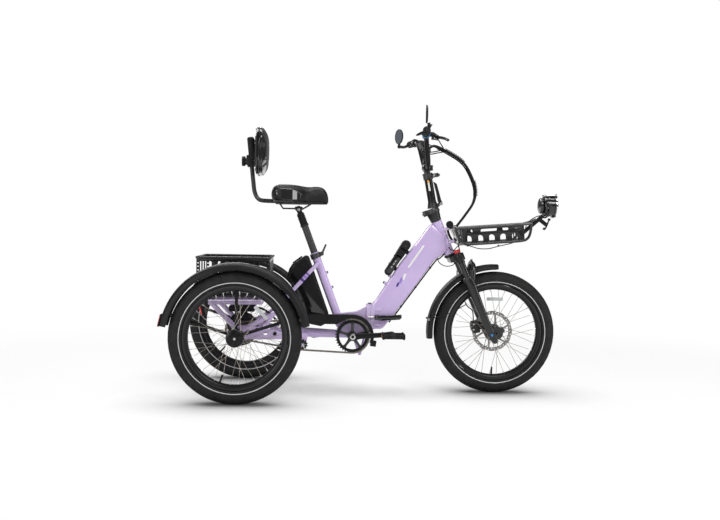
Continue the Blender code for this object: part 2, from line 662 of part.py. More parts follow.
def fork_lowers():
    tilt = HEAD_ANGLE - math.pi / 2
    drop = (FRONT_AXLE - HEAD)
    axle_up = -drop.x * math.cos(HEAD_ANGLE) + drop.z * math.sin(HEAD_ANGLE)
    axle_out = drop.x * math.sin(HEAD_ANGLE) + drop.z * math.cos(HEAD_ANGLE)
    legs = []
    bores = []
    for y in (-FORK_HALF, FORK_HALF):
        legs += [rod(on_head(FORK_OFFSET, y, axle_up - 0.030), on_head(FORK_OFFSET, y, -0.205), 0.0165, 0.0200),
                 box(on_head((FORK_OFFSET + axle_out) / 2 + 0.004, y, axle_up), (0.046, 0.010, 0.034), tilt),
                 box(on_head(0.052, y, -0.180), (0.022, 0.024, 0.084), tilt)]
        bores.append(rod(on_head(FORK_OFFSET, y, -0.365), on_head(FORK_OFFSET, y, -0.19), 0.0149, sides=10))
        bores.append(box(on_head(FORK_OFFSET, y, -0.170), (0.038, 0.040, 0.070), tilt))
    arch = box(on_head(0.058, 0, -0.148), (0.014, 0.128, 0.022), tilt)
    caliper = box(on_head(-0.012, FORK_HALF - 0.0210, axle_up + 0.092), (0.034, 0.027, 0.056), tilt)
    mount = box(on_head(0.003, FORK_HALF - 0.0080, axle_up + 0.092), (0.030, 0.016, 0.040), tilt)
    base = legs[0]
    join(base, *legs[1:], arch)
    cut(base, *bores)
    join(base, caliper, mount)
    cut(base, across(WHEELBASE, AXLE.z, -0.08, 0.08, 0.0056, 12),
        across(WHEELBASE, AXLE.z, 0.0340, 0.0390, 0.0930, 36))
    part("fork_lowers", base, BLACK_PAINT)
    bolt = box(on_head(0.068, 0, -0.169), (0.012, 0.012, 0.014), tilt)
    stays = []
    for side in (-1, 1):
        stays.append(pipe([(0.8150, side * 0.041, 0.322), (0.905, side * 0.052, 0.352), (0.972, side * 0.0775, 0.393),
                           ], 0.0022, 1))
    fender("front_fender", FRONT_AXLE, 0.300, 0.041, 0.024, 88, 186, [bolt, *stays])


def front_rotor():
    y = 0.0365
    disc = plate([circle(WHEELBASE, AXLE.z, 0.090, 28), circle(WHEELBASE, AXLE.z, 0.074, 28)], y, 0.0010)
    arms = [box(FRONT_AXLE + Vector((math.cos(a), 0, math.sin(a))) * 0.052 + Vector((0, y, 0)),
                (0.052, 0.0026, 0.010), -a) for a in (math.tau * k / 6 for k in range(6))]
    join(disc, *arms, across(WHEELBASE, AXLE.z, y - 0.0016, y + 0.0016, 0.032, 20))
    cut(disc, hole_across(FRONT_AXLE, y - 0.01, y + 0.01, 0.0190, 0.001))
    part("front_rotor", disc, STEEL, FRONT_AXLE)


# Stem and handlebar
def stem():
    pivot = on_head(-0.0435, 0, 0.1272)
    flange = rod(on_head(0, 0, 0.1275), on_head(0, 0, 0.137), 0.033, 0.030, sides=10)
    cone = rod(on_stem(0, 0, 0.004), on_stem(0, 0, 0.034), 0.0255, 0.018)
    tube = rod(on_stem(0, 0, 0.010), on_stem(0, 0, 0.142), 0.018, sides=10)
    collar = rod(on_stem(0, 0, 0.130), on_stem(0, 0, 0.158), 0.0215, sides=10)
    ears = box(on_stem(0.026, 0, 0.144), (0.018, 0.016, 0.018), STEM_ANGLE - math.pi / 2)
    knuckle = box(on_head(-0.033, 0, 0.1335), (0.020, 0.020, 0.0115), HEAD_ANGLE - math.pi / 2)
    catch = box(on_head(0.034, 0, 0.142), (0.010, 0.020, 0.016), HEAD_ANGLE - math.pi / 2)
    join(flange, cone, tube, collar, ears, knuckle, catch)
    cut(flange, rod(on_stem(0, 0, 0.026), on_stem(0, 0, 0.17), 0.0148, sides=10))
    part("stem_post", flange, BLACK_PAINT, pivot)

    hinge = on_head(0.0470, 0, 0.142)
    barrel = rod(hinge + Vector((0, -0.012, 0)), hinge + Vector((0, 0.012, 0)), 0.0065, sides=10)
    low, high = hinge, on_stem(0.0265, 0, 0.112)
    middle = (low + high) / 2
    run = high - low
    handle = box(middle + Vector((0.003, 0, 0)), (0.007, 0.022, run.length * 0.92), math.atan2(run.x, run.z))
    part("stem_latch_lever", join(barrel, handle), BLACK_PAINT, hinge)

    clamp = on_stem(0.0425, 0, 0.144)
    barrel = rod(on_stem(0.0425, 0, 0.135), on_stem(0.0425, 0, 0.153), 0.006, sides=10)
    handle = box(clamp + Vector((0.001, -0.024, -0.002)), (0.008, 0.044, 0.010))
    part("height_clamp_lever", join(barrel, handle), BLACK_PAINT, clamp)


def handlebar():
    post = rod(on_stem(0, 0, 0.034), on_stem(0, 0, 0.176), 0.0143, sides=10)
    clamp = across(BAR_CLAMP.x, BAR_CLAMP.z, -0.030, 0.030, 0.0190, 20)
    half = [(0.0, 0.7985, 0.985), (0.050, 0.7985, 0.988), (0.085, 0.794, 1.015), (0.118, 0.784, 1.070),
            (0.150, 0.777, 1.100), (0.190, 0.770, 1.111), (BAR_END, 0.757, 1.115)]
    route = [(x, -y, z) for y, x, z in reversed(half)] + [(x, y, z) for y, x, z in half[1:]]
    part("handlebar", join(post, clamp, pipe(route, BAR_RADIUS, 3)), BLACK_PAINT)

    for side, label in ((-1, "right"), (1, "left")):
        def bar(y, out=0.0, up=0.0):
            along = (abs(y) - 0.190) / (BAR_END - 0.190)
            return Vector((0.770 - 0.013 * along + out, side * abs(y), 1.111 + 0.004 * along + up))

        grip = rod(bar(0.2140), bar(0.320), 0.0155, 0.0165)
        wedge = box(bar(0.292, -0.022, -0.008), (0.040, 0.052, 0.012), math.radians(-25))
        cut(join(grip, wedge), hole(bar(0.20), bar(0.34), BAR_RADIUS, 0.0006))
        part("grip_" + label, grip, RUBBER)

        clamp = rod(bar(0.184), bar(0.2015), 0.0165)
        body = box(bar(0.189, 0.032, -0.006), (0.044, 0.025, 0.018), math.radians(8))
        cut(join(clamp, body), hole(bar(0.17), bar(0.22), BAR_RADIUS, 0.0010),
            box(bar(0.200, 0.050, -0.010), (0.030, 0.060, 0.0110), math.radians(8)))
        part("brake_mount_" + label, clamp, BLACK_PAINT)
        pivot = bar(0.186, 0.046, -0.0095)
        route = [bar(0.186, 0.046, -0.0095), bar(0.215, 0.060, -0.011), bar(0.250, 0.074, -0.016),
                 bar(0.300, 0.084, -0.022)]
        blade = join(rod(pivot + Vector((0, 0, -0.004)), pivot + Vector((0, 0, 0.004)), 0.009),
                     pipe(route, 0.0048, 3))
        part("brake_lever_" + label, blade, BLACK_PAINT, pivot)

    display = box((0.783, 0.0, 1.078), (0.012, 0.062, 0.044), math.radians(-35))
    hanger = box((0.788, 0.0, 1.040), (0.008, 0.020, 0.060), math.radians(-6))
    root = box((0.7985, 0, 1.0095), (0.022, 0.024, 0.010))
    part("display", join(soften(display, 0.003, 1), hanger, root), BLACK_PLASTIC)

    pivot = Vector((0.7683, 0.2075, 1.1115))
    ring = rod(pivot + Vector((0, -0.0028, 0)), pivot + Vector((0, 0.0028, 0)), 0.0190)
    paddle = box(pivot + Vector((-0.020, 0, -0.016)), (0.024, 0.0050, 0.010), math.radians(-40))
    cut(join(ring, paddle), hole((pivot.x, 0.19, pivot.z), (pivot.x, 0.23, pivot.z), BAR_RADIUS, 0.0015))
    part("throttle_lever", ring, BLACK_PLASTIC, pivot)


def mirrors():
    for side, label, arm_end, turn in ((-1, "right", (0.760, -0.382, 1.125), 90), (1, "left", (0.712, 0.386, 1.110), 52)):
        socket = Vector((0.7565, side * 0.3345, 1.1150))
        plug = rod(socket, socket + Vector((0, side * 0.012, 0)), 0.0125)
        arm = pipe([socket + Vector((0, side * 0.006, 0)), (socket + Vector(arm_end)) / 2 + Vector((0, 0, -0.006)),
                    arm_end], 0.0070, 3)
        centre = Vector(arm_end) + Vector((0, 0, 0.048))
        facing = Vector((-math.sin(math.radians(turn)), -math.cos(math.radians(turn)) * side, 0.0))
        head = rod(centre - facing * 0.0045, centre + facing * 0.0045, 0.036, sides=10)
        neck = rod(Vector(arm_end), centre, 0.006, sides=10)
        part("mirror_" + label, join(plug, arm, neck, head), BLACK_PLASTIC, socket)


# Seat
def seat():
    post = rod(on_seat(0, 0, -0.120), on_seat(0, 0, 0.128), POST_RADIUS, sides=10)
    cut(post, rod(on_seat(0, 0, 0.030), on_seat(0, 0, 0.14), 0.0124, sides=10))
    part("seatpost", post, BLACK_PAINT)
    inner = rod(on_seat(0, 0, 0.072), on_seat(0, 0, 0.196), 0.0120, sides=10)
    head = across(on_seat(0, 0, 0.200).x, 0.7955, -0.021, 0.021, 0.0130, 20)
    part("seatpost_inner", join(inner, head), BLACK_PAINT)

    rails = []
    for side in (-1, 1):
        y = side * 0.0265
        rails.append(pipe([(0.160, y, 0.8165), (0.174, y, 0.7965), (0.262, y, 0.7965), (0.294, y, 0.8165)], 0.0036, 1))
    pan = join(box((0.213, 0, 0.8170), (0.130, 0.100, 0.006)), box((0.280, 0, 0.8172), (0.036, 0.062, 0.005)))
    back = pipe([(0.215, 0, 0.8280), (0.100, 0, 0.8280), (0.066, 0, 0.836), (0.050, 0, 0.865),
                 (0.044, 0, 0.905), (0.037, 0, 0.970), (0.024, 0, 1.100)], 0.0105, 3)
    part("saddle_frame", join(pan, back, *rails), BLACK_PAINT)

    half = [(0.128, 0.080), (0.136, 0.118), (0.170, 0.134), (0.215, 0.125), (0.262, 0.082), (0.310, 0.048),
            (0.355, 0.040), (0.372, 0.022)]
    outline = [(x, y) for x, y in half] + [(x, -y) for x, y in reversed(half)]
    cushion = plate([outline], 0, 0.0415)
    cushion.rotation_euler = (0, 0, 0)
    cushion.location = (0, 0, 0.8575)
    bpy.context.view_layer.update()
    cut(soften(cushion, 0.018, 2), rod((0.08, 0, 0.8280), (0.235, 0, 0.8280), 0.0118, sides=10),
        box((0.213, 0, 0.8160), (0.134, 0.104, 0.0090)), box((0.281, 0, 0.8160), (0.042, 0.068, 0.0090)))
    part("saddle", cushion, LEATHER)

    pad = box((0.0810, 0, 1.0400), (0.046, 0.300, 0.216), math.radians(1))
    part("backrest_pad", soften(pad, 0.018, 2), LEATHER)
    plate_back = box((0.0520, 0, 1.040), (0.0040, 0.080, 0.130), math.radians(1))
    slider = box((0.0340, 0, 1.000), (0.036, 0.040, 0.050), math.radians(-6))
    join(slider, plate_back)
    cut(slider, hole((0.040, 0, 0.940), (0.021, 0, 1.130), 0.0105, 0.0010))
    part("backrest_slider", slider, BLACK_PAINT)
    hub = rod((0.0120, 0, 0.998), (0.0060, 0, 0.998), 0.007, sides=10)
    knob = rod((0.0080, 0, 0.998), (-0.0070, 0, 0.998), 0.022, sides=10)
    part("backrest_knob", join(knob, hub), BLACK_PLASTIC, (0.0, 0, 0.998))


# Cables from the handlebar to the frame
def cable_loom():
    loom = pipe([(0.800, -0.050, 1.066), (0.830, -0.035, 1.078), (0.886, -0.020, 1.056), (0.961, -0.006, 1.010),
                 (1.003, 0.0, 0.941), (1.017, 0.0, 0.885), (1.008, 0.0, 0.835), (0.971, 0.0, 0.778),
                 (0.936, 0.0, 0.731)], 0.0062, 4)
    part("cable_loom", loom, RUBBER)


rear_frame()
seat_collar()
chain_line()
chain_guard()
cranks()
battery()
rear_drive()
for side, label in ((-1, "right"), (1, "left")):
    near, far = side * 0.378, side * 0.120
    flanges = sorted((side * 0.318, side * 0.362))
    wheel("rear_" + label, AXLE + Vector((0, side * HALF_TRACK, 0)), min(near, far), max(near, far), flanges, 0.0100)
rear_fenders()
rear_basket()
front_frame()
front_rack()
folding_lock()
steering()
fork_lowers()
wheel("front", FRONT_AXLE, -0.063, 0.063, (-0.030, 0.030), 0.0052)
front_rotor()
stem()
handlebar()
mirrors()
seat()
cable_loom()
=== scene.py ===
import json
import math
from math import cos, radians, sin, tau

import bmesh
import bpy
from mathutils import Matrix, Vector
from mathutils.bvhtree import BVHTree


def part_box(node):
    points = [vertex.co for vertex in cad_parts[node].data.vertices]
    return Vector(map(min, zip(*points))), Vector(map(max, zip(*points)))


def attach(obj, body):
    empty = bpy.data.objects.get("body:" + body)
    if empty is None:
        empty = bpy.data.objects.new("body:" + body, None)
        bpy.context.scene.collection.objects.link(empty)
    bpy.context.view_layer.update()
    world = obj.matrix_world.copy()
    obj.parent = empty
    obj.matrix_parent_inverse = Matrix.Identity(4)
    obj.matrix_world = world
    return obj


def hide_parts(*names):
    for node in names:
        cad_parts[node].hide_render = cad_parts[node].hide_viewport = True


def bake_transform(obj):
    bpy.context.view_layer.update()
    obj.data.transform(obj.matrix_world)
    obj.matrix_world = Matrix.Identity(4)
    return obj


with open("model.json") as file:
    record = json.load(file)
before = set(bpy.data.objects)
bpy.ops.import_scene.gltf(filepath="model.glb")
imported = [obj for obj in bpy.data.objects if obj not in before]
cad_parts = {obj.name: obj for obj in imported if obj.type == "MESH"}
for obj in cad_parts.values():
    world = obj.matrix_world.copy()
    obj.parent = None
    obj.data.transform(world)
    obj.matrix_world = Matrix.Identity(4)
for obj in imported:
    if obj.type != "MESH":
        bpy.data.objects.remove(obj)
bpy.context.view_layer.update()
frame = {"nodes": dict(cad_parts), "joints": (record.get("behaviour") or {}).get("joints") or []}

NODES = frame["nodes"]
JOINTS = {joint["name"]: joint for joint in frame["joints"]}
SIDES = ((-1, "right"), (1, "left"))


# Places, worked out from the frame's own joints and boxes
def joint_place(name):
    return Vector(JOINTS[name]["pos_m"])


def joint_axis(name):
    return Vector(JOINTS[name]["axis"]).normalized()


REAR_AXLE = joint_place("rear_right_spin")
FRONT_AXLE = joint_place("front_wheel_spin")
CRANK = joint_place("crank_spin")
HEAD = joint_place("steer")
HEAD_UP = joint_axis("steer")
SEAT_UP = joint_axis("seat_height")
STEM_UP = joint_axis("bar_height")
HEAD_TILT = -23
STEM_TILT = 79.3 - 90
HALF_TRACK = -REAR_AXLE.y
AXLE_Z = REAR_AXLE.z
CHAIN_Y = joint_place("sprocket_spin").y


def at(x, z, y=0.0):
    """A point measured along the ground from the rear axle."""
    return Vector((x + REAR_AXLE.x, y, z))


SEAT_TOP = at(0.3133, 0.606)
STEM_FOOT = at(0.832, 0.806)


def leaning(origin, up, forward, y, along):
    """A point measured along a leaning tube, square to it and sideways."""
    return origin + Vector((up.z, 0, -up.x)) * forward + up * along + aside(y)


def on_head(forward, y, along):
    return leaning(HEAD, HEAD_UP, forward, y, along)


def on_seat(forward, y, along):
    return leaning(SEAT_TOP, SEAT_UP, forward, y, along)


def on_stem(forward, y, along):
    return leaning(STEM_FOOT, STEM_UP, forward, y, along)


# Lines and outlines
def aside(y):
    return Vector((0, y, 0))


def ray(turn):
    """One metre out in the side view, at an angle in radians."""
    return Vector((cos(turn), 0, sin(turn)))


def turns(count):
    """Even angles round a circle, in radians."""
    return [tau * n / count for n in range(count)]


def bent(value, power):
    """A power of a value that keeps its sign. On a circle's sine and cosine it squares the circle off."""
    return math.copysign(abs(value) ** power, value)


def straight(x, z, half):
    """The two ends of a bar straight across."""
    return [at(x, z, -half), at(x, z, half)]


def even(*half):
    """A profile for turn() that is the same on both sides of its middle, from its (radius, distance) pairs."""
    return [(radius, -along) for radius, along in half] + [pair for pair in reversed(half) if pair[1]]


def slope(run):
    """The tilt in degrees that lays a block along a line in the side view."""
    return -math.degrees(math.atan2(run.z, run.x))


def side_view(points):
    return [(point.x, point.z) for point in points]


def smooth(points, spans=6):
    """Points along a Catmull-Rom curve through the given ones."""
    route = [Vector(point) for point in points]
    padded = [route[0] * 2 - route[1], *route, route[-1] * 2 - route[-2]]
    found = []
    for k in range(len(route) - 1):
        a, b, c, d = padded[k : k + 4]
        for step in range(spans):
            t = step / spans
            found.append(0.5 * (2 * b + (c - a) * t + (2 * a - 5 * b + 4 * c - d) * t**2
                                + (3 * b - a - 3 * c + d) * t**3))
    return [*found, route[-1]]


def relaxed(route, passes):
    """A closed line whose points are drawn towards their neighbours."""
    for _ in range(passes):
        route = [(route[k - 1] + route[k] * 2 + route[(k + 1) % len(route)]) / 4 for k in range(len(route))]
    return route


def arc(x, z, radius, count, start=0.0, stop=tau):
    """Points in the X-Z plane round an arc in degrees or, with no limits given, round a whole circle."""
    angles = turns(count)
    if stop != tau:
        angles = [radians(start + (stop - start) * k / (count - 1)) for k in range(count)]
    return [(x + radius * cos(a), z + radius * sin(a)) for a in angles]


def rounded(x1, x2, z1, z2, radius, count=5):
    """The outline of a rectangle with round corners."""
    points = []
    for x, z, start in ((x2 - radius, z2 - radius, 0), (x1 + radius, z2 - radius, 90),
                        (x1 + radius, z1 + radius, 180), (x2 - radius, z1 + radius, 270)):
        points += arc(x, z, radius, count, start, start + 90)
    return points


def slit(x, z, half_x, half_z, radius, count=5):
    """The outline of a rectangle with round corners, from its middle and half sizes."""
    return rounded(x - half_x, x + half_x, z - half_z, z + half_z, radius, count)


# Materials
def wire(tree, node, **sockets):
    """Fills a node's inputs by name, with _ for a space: another node's output is linked, a plain value is set."""
    for name, value in sockets.items():
        socket = node.inputs[name.replace("_", " ")]
        if isinstance(value, bpy.types.NodeSocket):
            tree.links.new(value, socket)
        else:
            socket.default_value = value


def add(tree, kind, **sockets):
    """A new node with its inputs filled."""
    made = tree.nodes.new(kind)
    wire(tree, made, **sockets)
    return made


def ramp(tree, source, low, high, dark, light):
    """A colour that goes from dark to light as the source goes from low to high."""
    made = add(tree, "ShaderNodeValToRGB", Fac=source)
    for stop, position, colour in zip(made.color_ramp.elements, (low, high), (dark, light)):
        stop.position = position
        stop.color = (*colour, 1)
    return made.outputs["Color"]


def mix_shaders(tree, share, first, second, output):
    """Mixes two shaders into the output node."""
    mix = add(tree, "ShaderNodeMixShader", Fac=share)
    tree.links.new(first, mix.inputs[1])
    tree.links.new(second, mix.inputs[2])
    wire(tree, tree.nodes[output], Surface=mix.outputs["Shader"])


DRIFT_DETAIL = 5
WEAR_AND_SHEEN_FROM, WEAR_AND_SHEEN_TO = 0.53, 0.62
GRAIN_DEPTH = 0.001
DARK_SPECULAR, PLAIN_SPECULAR = 0.22, 0.5


def look(name, colour, roughness, metallic=0.0, tone=0.15, cloud=14, spread=0.08, grain=700, bump=0.08, cells=False,
         stretch=(1, 1, 1), wear_and_sheen=0.0, coat=0.0, emit=0.0):
    """A surface with drifting colour and gloss, a fine grain and paler edges, which are edge wear and a painted edge
    highlight.
    """
    made = bpy.data.materials.new(name)
    made.use_nodes = True
    tree = made.node_tree
    place = add(tree, "ShaderNodeTexCoord").outputs["Object"]
    drift = add(tree, "ShaderNodeTexNoise", Scale=cloud, Detail=DRIFT_DETAIL, Vector=place).outputs["Fac"]
    shade = ramp(tree, drift, 0.3, 0.7, [c * (1 - tone) for c in colour], [min(1.0, c * (1 + tone)) for c in colour])
    # Paler convex edges found by pointiness: edge wear and a painted edge highlight.
    if wear_and_sheen:
        edges = add(tree, "ShaderNodeNewGeometry").outputs["Pointiness"]
        mix = add(tree, "ShaderNodeMix")
        mix.data_type = "RGBA"
        wire(tree, mix, Factor=ramp(tree, edges, WEAR_AND_SHEEN_FROM, WEAR_AND_SHEEN_TO, (0, 0, 0), (wear_and_sheen, wear_and_sheen, wear_and_sheen)), A=shade,
             B=(*[min(1.0, c * 2 + 0.06) for c in colour], 1))
        shade = mix.outputs["Result"]
    stretched = add(tree, "ShaderNodeMapping", Scale=stretch, Vector=place).outputs["Vector"]
    fine = add(tree, "ShaderNodeTexVoronoi" if cells else "ShaderNodeTexNoise", Scale=grain, Vector=stretched)
    height = fine.outputs["Distance" if cells else "Fac"]
    gloss = add(tree, "ShaderNodeMapRange", Value=drift if stretch == (1, 1, 1) else height,
                To_Min=max(0.02, roughness - spread), To_Max=min(1.0, roughness + spread))
    relief = add(tree, "ShaderNodeBump", Strength=bump, Distance=GRAIN_DEPTH, Height=height)
    shader = tree.nodes["Principled BSDF"]
    wire(tree, shader, Base_Color=shade, Roughness=gloss.outputs["Result"], Normal=relief.outputs["Normal"],
         Metallic=metallic, Coat_Weight=coat, Specular_IOR_Level=PLAIN_SPECULAR if max(colour) > 0.1 or coat
         else DARK_SPECULAR)
    if emit:
        wire(tree, shader, Emission_Color=(*colour, 1), Emission_Strength=emit)
    return made


# The paler edges on the lavender, black paint and anodised finishes are edge wear and a painted edge highlight.
LAVENDER = look("lavender_paint", (0.545, 0.425, 0.7), 0.3, tone=0.04, grain=420, bump=0.03, coat=0.35, wear_and_sheen=0.12)
VIOLET = look("violet_dash", (0.3, 0.19, 0.62), 0.35, tone=0.08, grain=500, bump=0.04)
INDIGO = look("indigo_dash", (0.07, 0.03, 0.22), 0.35, tone=0.1, grain=500, bump=0.04)
BLACK_PAINT = look("satin_black_paint", (0.007, 0.007, 0.0075), 0.28, grain=520, bump=0.06, wear_and_sheen=0.6, coat=0.1)
ALLOY = look("black_anodised", (0.009, 0.009, 0.01), 0.3, metallic=0.25, grain=900, bump=0.05, wear_and_sheen=0.8)
PLASTIC = look("moulded_plastic", (0.008, 0.008, 0.0085), 0.5, tone=0.25, grain=1300, bump=0.22, cells=True)
FENDER = look("fender_plastic", (0.011, 0.011, 0.0115), 0.44, tone=0.25, grain=1500, bump=0.16, cells=True)
GLOSS = look("gloss_plastic", (0.006, 0.006, 0.0065), 0.14, grain=60, bump=0.02, coat=0.4)
RUBBER = look("soft_rubber", (0.012, 0.012, 0.0125), 0.7, tone=0.3, grain=900, bump=0.25)
TYRE = look("tyre_rubber", (0.0145, 0.014, 0.0138), 0.66, tone=0.35, cloud=30, grain=650, bump=0.35)
STRIPE = look("reflective_stripe", (0.55, 0.56, 0.57), 0.32, tone=0.08, grain=1600, bump=0.15, cells=True)
STEEL = look("spoke_steel", (0.3, 0.27, 0.24), 0.34, metallic=0.85, tone=0.2, grain=800, bump=0.05)
CHAIN_STEEL = look("chain_steel", (0.2, 0.18, 0.16), 0.42, metallic=0.85, tone=0.35, cloud=90, grain=800, bump=0.2)
BRUSHED = look("brushed_steel", (0.62, 0.61, 0.6), 0.3, metallic=1.0, tone=0.08, grain=500, bump=0.08,
               stretch=(1, 8, 1))
CHROME = look("bright_chrome", (0.85, 0.86, 0.88), 0.08, metallic=1.0, tone=0.04, spread=0.04, grain=200, bump=0.01)
GLASS = look("mirror_glass", (0.66, 0.74, 0.84), 0.05, metallic=1.0, tone=0.04, spread=0.02, grain=20, bump=0.005)
HIDE = look("saddle_vinyl", (0.01, 0.01, 0.0105), 0.42, tone=0.3, cloud=22, grain=520, bump=0.28, cells=True)
PATENT = look("gloss_vinyl", (0.007, 0.007, 0.008), 0.19, tone=0.08, grain=60, bump=0.012, coat=0.5)
# Emission gives the red reflector lenses a faint painted glow.
RED = look("red_reflector", (0.75, 0.03, 0.02), 0.22, tone=0.12, grain=260, bump=0.5, cells=True, coat=0.4, emit=0.12)
AMBER = look("amber_reflector", (0.85, 0.26, 0.02), 0.25, tone=0.1, grain=260, bump=0.5, cells=True, coat=0.4)
CLEAR = look("clear_reflector", (0.46, 0.47, 0.48), 0.25, tone=0.1, grain=260, bump=0.5, cells=True, coat=0.4)
LENS = look("lamp_lens", (0.9, 0.91, 0.93), 0.12, tone=0.05, grain=240, bump=0.3, cells=True, coat=0.5)
BLUE = look("blue_accent", (0.02, 0.25, 0.62), 0.35, tone=0.1, grain=700, bump=0.06)
RED_KNOB = look("red_knob", (0.6, 0.02, 0.02), 0.35, tone=0.12, grain=700, bump=0.06)
LABEL = look("plain_label", (0.78, 0.78, 0.76), 0.45, tone=0.05, grain=700, bump=0.05)
ORANGE = look("orange_label", (0.9, 0.42, 0.03), 0.45, tone=0.05, grain=700, bump=0.05)
ROTOR_STEEL = look("disc_steel", (0.34, 0.33, 0.32), 0.36, metallic=0.9, tone=0.12, grain=600, bump=0.1,
                   stretch=(6, 1, 6))
SCREEN = look("display_glass", (0.01, 0.014, 0.016), 0.08, grain=30, bump=0.005, coat=0.6)


# Pieces
def shown(name, data):
    """A new object in the scene."""
    found = bpy.data.objects.new(name, data)
    bpy.context.scene.collection.objects.link(found)
    return found


def flat(outlines, thickness, edge):
    """A flat plate with rounded edges from outlines, of which all but the first are holes."""
    curve = bpy.data.curves.new("outline", "CURVE")
    curve.dimensions = "2D"
    curve.fill_mode = "BOTH"
    curve.extrude = thickness / 2 - edge
    curve.bevel_depth = edge
    curve.bevel_resolution = 1
    curve.offset = -edge
    for outline in outlines:
        spline = curve.splines.new("POLY")
        spline.points.add(len(outline) - 1)
        for point, (x, z) in zip(spline.points, outline):
            point.co = (x, z, 0, 1)
        spline.use_cyclic_u = True
    holder = shown("outline", curve)
    found = bpy.data.meshes.new_from_object(holder.evaluated_get(bpy.context.evaluated_depsgraph_get()))
    bpy.data.objects.remove(holder)
    bpy.data.curves.remove(curve)
    return found


class Piece:
    """A visible piece: shapes are added to one mesh, and done() puts it on its body."""

    def __init__(self, name, *looks):
        self.name = name
        self.looks = looks
        self.mesh = bmesh.new()

    def take(self, other, matrix, look=0):
        """Adds another bmesh, moved by a matrix."""
        found = [self.mesh.verts.new(matrix @ vert.co) for vert in other.verts]
        other.verts.index_update()
        for face in other.faces:
            self.mesh.faces.new([found[vert.index] for vert in face.verts]).material_index = look
        other.free()
        return self

    def loft(self, loops, look=0, closed=False, looks=None):
        """A skin through loops of points: closed joins the last loop to the first, or else both ends are capped."""
        count = len(loops[0])
        verts = [[self.mesh.verts.new(point) for point in loop] for loop in loops]
        rows = len(loops) if closed else len(loops) - 1
        for row in range(rows):
            here, there = verts[row], verts[(row + 1) % len(loops)]
            for k in range(count):
                n = (k + 1) % count
                face = self.mesh.faces.new((here[k], here[n], there[n], there[k]))
                face.material_index = looks[k] if looks else look
        if not closed:
            self.mesh.faces.new(verts[0][::-1]).material_index = look
            self.mesh.faces.new(verts[-1]).material_index = look
        return self

    def tube(self, route, radius, sides=12, look=0, closed=False, squash=1.0):
        """A round bar along a route, with one radius or one for each point."""
        route = [Vector(point) for point in route]
        radii = radius if isinstance(radius, list) else [radius] * len(route)
        loops = []
        side = None
        for k, here in enumerate(route):
            before = route[k - 1] if k or closed else here
            after = route[(k + 1) % len(route)] if k + 1 < len(route) or closed else here
            run = (after - before).normalized()
            side = run.orthogonal() if side is None else side - run * side.dot(run)
            side.normalize()
            other = run.cross(side)
            loops.append([here + (side * cos(a) + other * sin(a) * squash) * radii[k] for a in turns(sides)])
        return self.loft(loops, look, closed)

    def turn(self, profile, centre, axis=(0, 1, 0), steps=64, look=0, closed=False):
        """A profile of (radius, distance along the axis) turned about the axis."""
        axis = Vector(axis).normalized()
        side = axis.orthogonal().normalized()
        other = axis.cross(side)
        loops = [[Vector(centre) + axis * along + (side * cos(a) + other * sin(a)) * radius for a in turns(steps)]
                 for radius, along in profile]
        return self.loft(loops, look, closed)

    def block(self, centre, size, tilt=0.0, edge=0.0015, look=0, yaw=0.0, segments=2):
        """A block with rounded edges, turned about Y by the tilt and then about Z by the yaw."""
        shape = bmesh.new()
        bmesh.ops.create_cube(shape, size=1.0)
        bmesh.ops.scale(shape, vec=size, verts=shape.verts)
        bmesh.ops.bevel(shape, geom=shape.edges[:], offset=min(edge, min(size) * 0.45), segments=segments,
                        affect="EDGES", profile=0.5)
        matrix = (Matrix.Translation(centre) @ Matrix.Rotation(radians(yaw), 4, "Z")
                  @ Matrix.Rotation(radians(tilt), 4, "Y"))
        return self.take(shape, matrix, look)

    def plate(self, outlines, y, thickness, edge=0.0006, look=0, matrix=None):
        """A plate in the X-Z plane at that y or, with a matrix, in the plane it gives."""
        shape = bmesh.new()
        found = flat(outlines, thickness, edge)
        shape.from_mesh(found)
        bpy.data.meshes.remove(found)
        bmesh.ops.remove_doubles(shape, verts=shape.verts, dist=0.00001)
        place = matrix or Matrix.Translation((0, y, 0)) @ Matrix.Rotation(radians(90), 4, "X")
        return self.take(shape, place, look)

    def bolt(self, centre, axis, radius=0.004, height=0.003, look=0):
        """A socket-head bolt whose head stands on the point."""
        profile = [(radius, 0), (radius, height * 0.8), (radius * 0.85, height), (radius * 0.5, height),
                   (radius * 0.45, height * 0.5), (radius * 0.1, height * 0.5)]
        return self.turn(profile, centre, axis, 12, look)

    def done(self, body, slot, *replaces, angle=38):
        """Makes the object. With no body, it is left unattached. Edges sharper than the angle stay sharp."""
        bmesh.ops.recalc_face_normals(self.mesh, faces=self.mesh.faces)
        data = bpy.data.meshes.new(self.name)
        self.mesh.to_mesh(data)
        self.mesh.free()
        for found in self.looks:
            data.materials.append(found)
        data.shade_smooth()
        data.set_sharp_from_angle(angle=radians(angle))
        piece = shown(self.name, data)
        if body:
            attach(piece, body)
        if replaces:
            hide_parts(*replaces)
        return piece


WELD_DISTANCE = 0.00002
SHARP_EDGE = 37.5


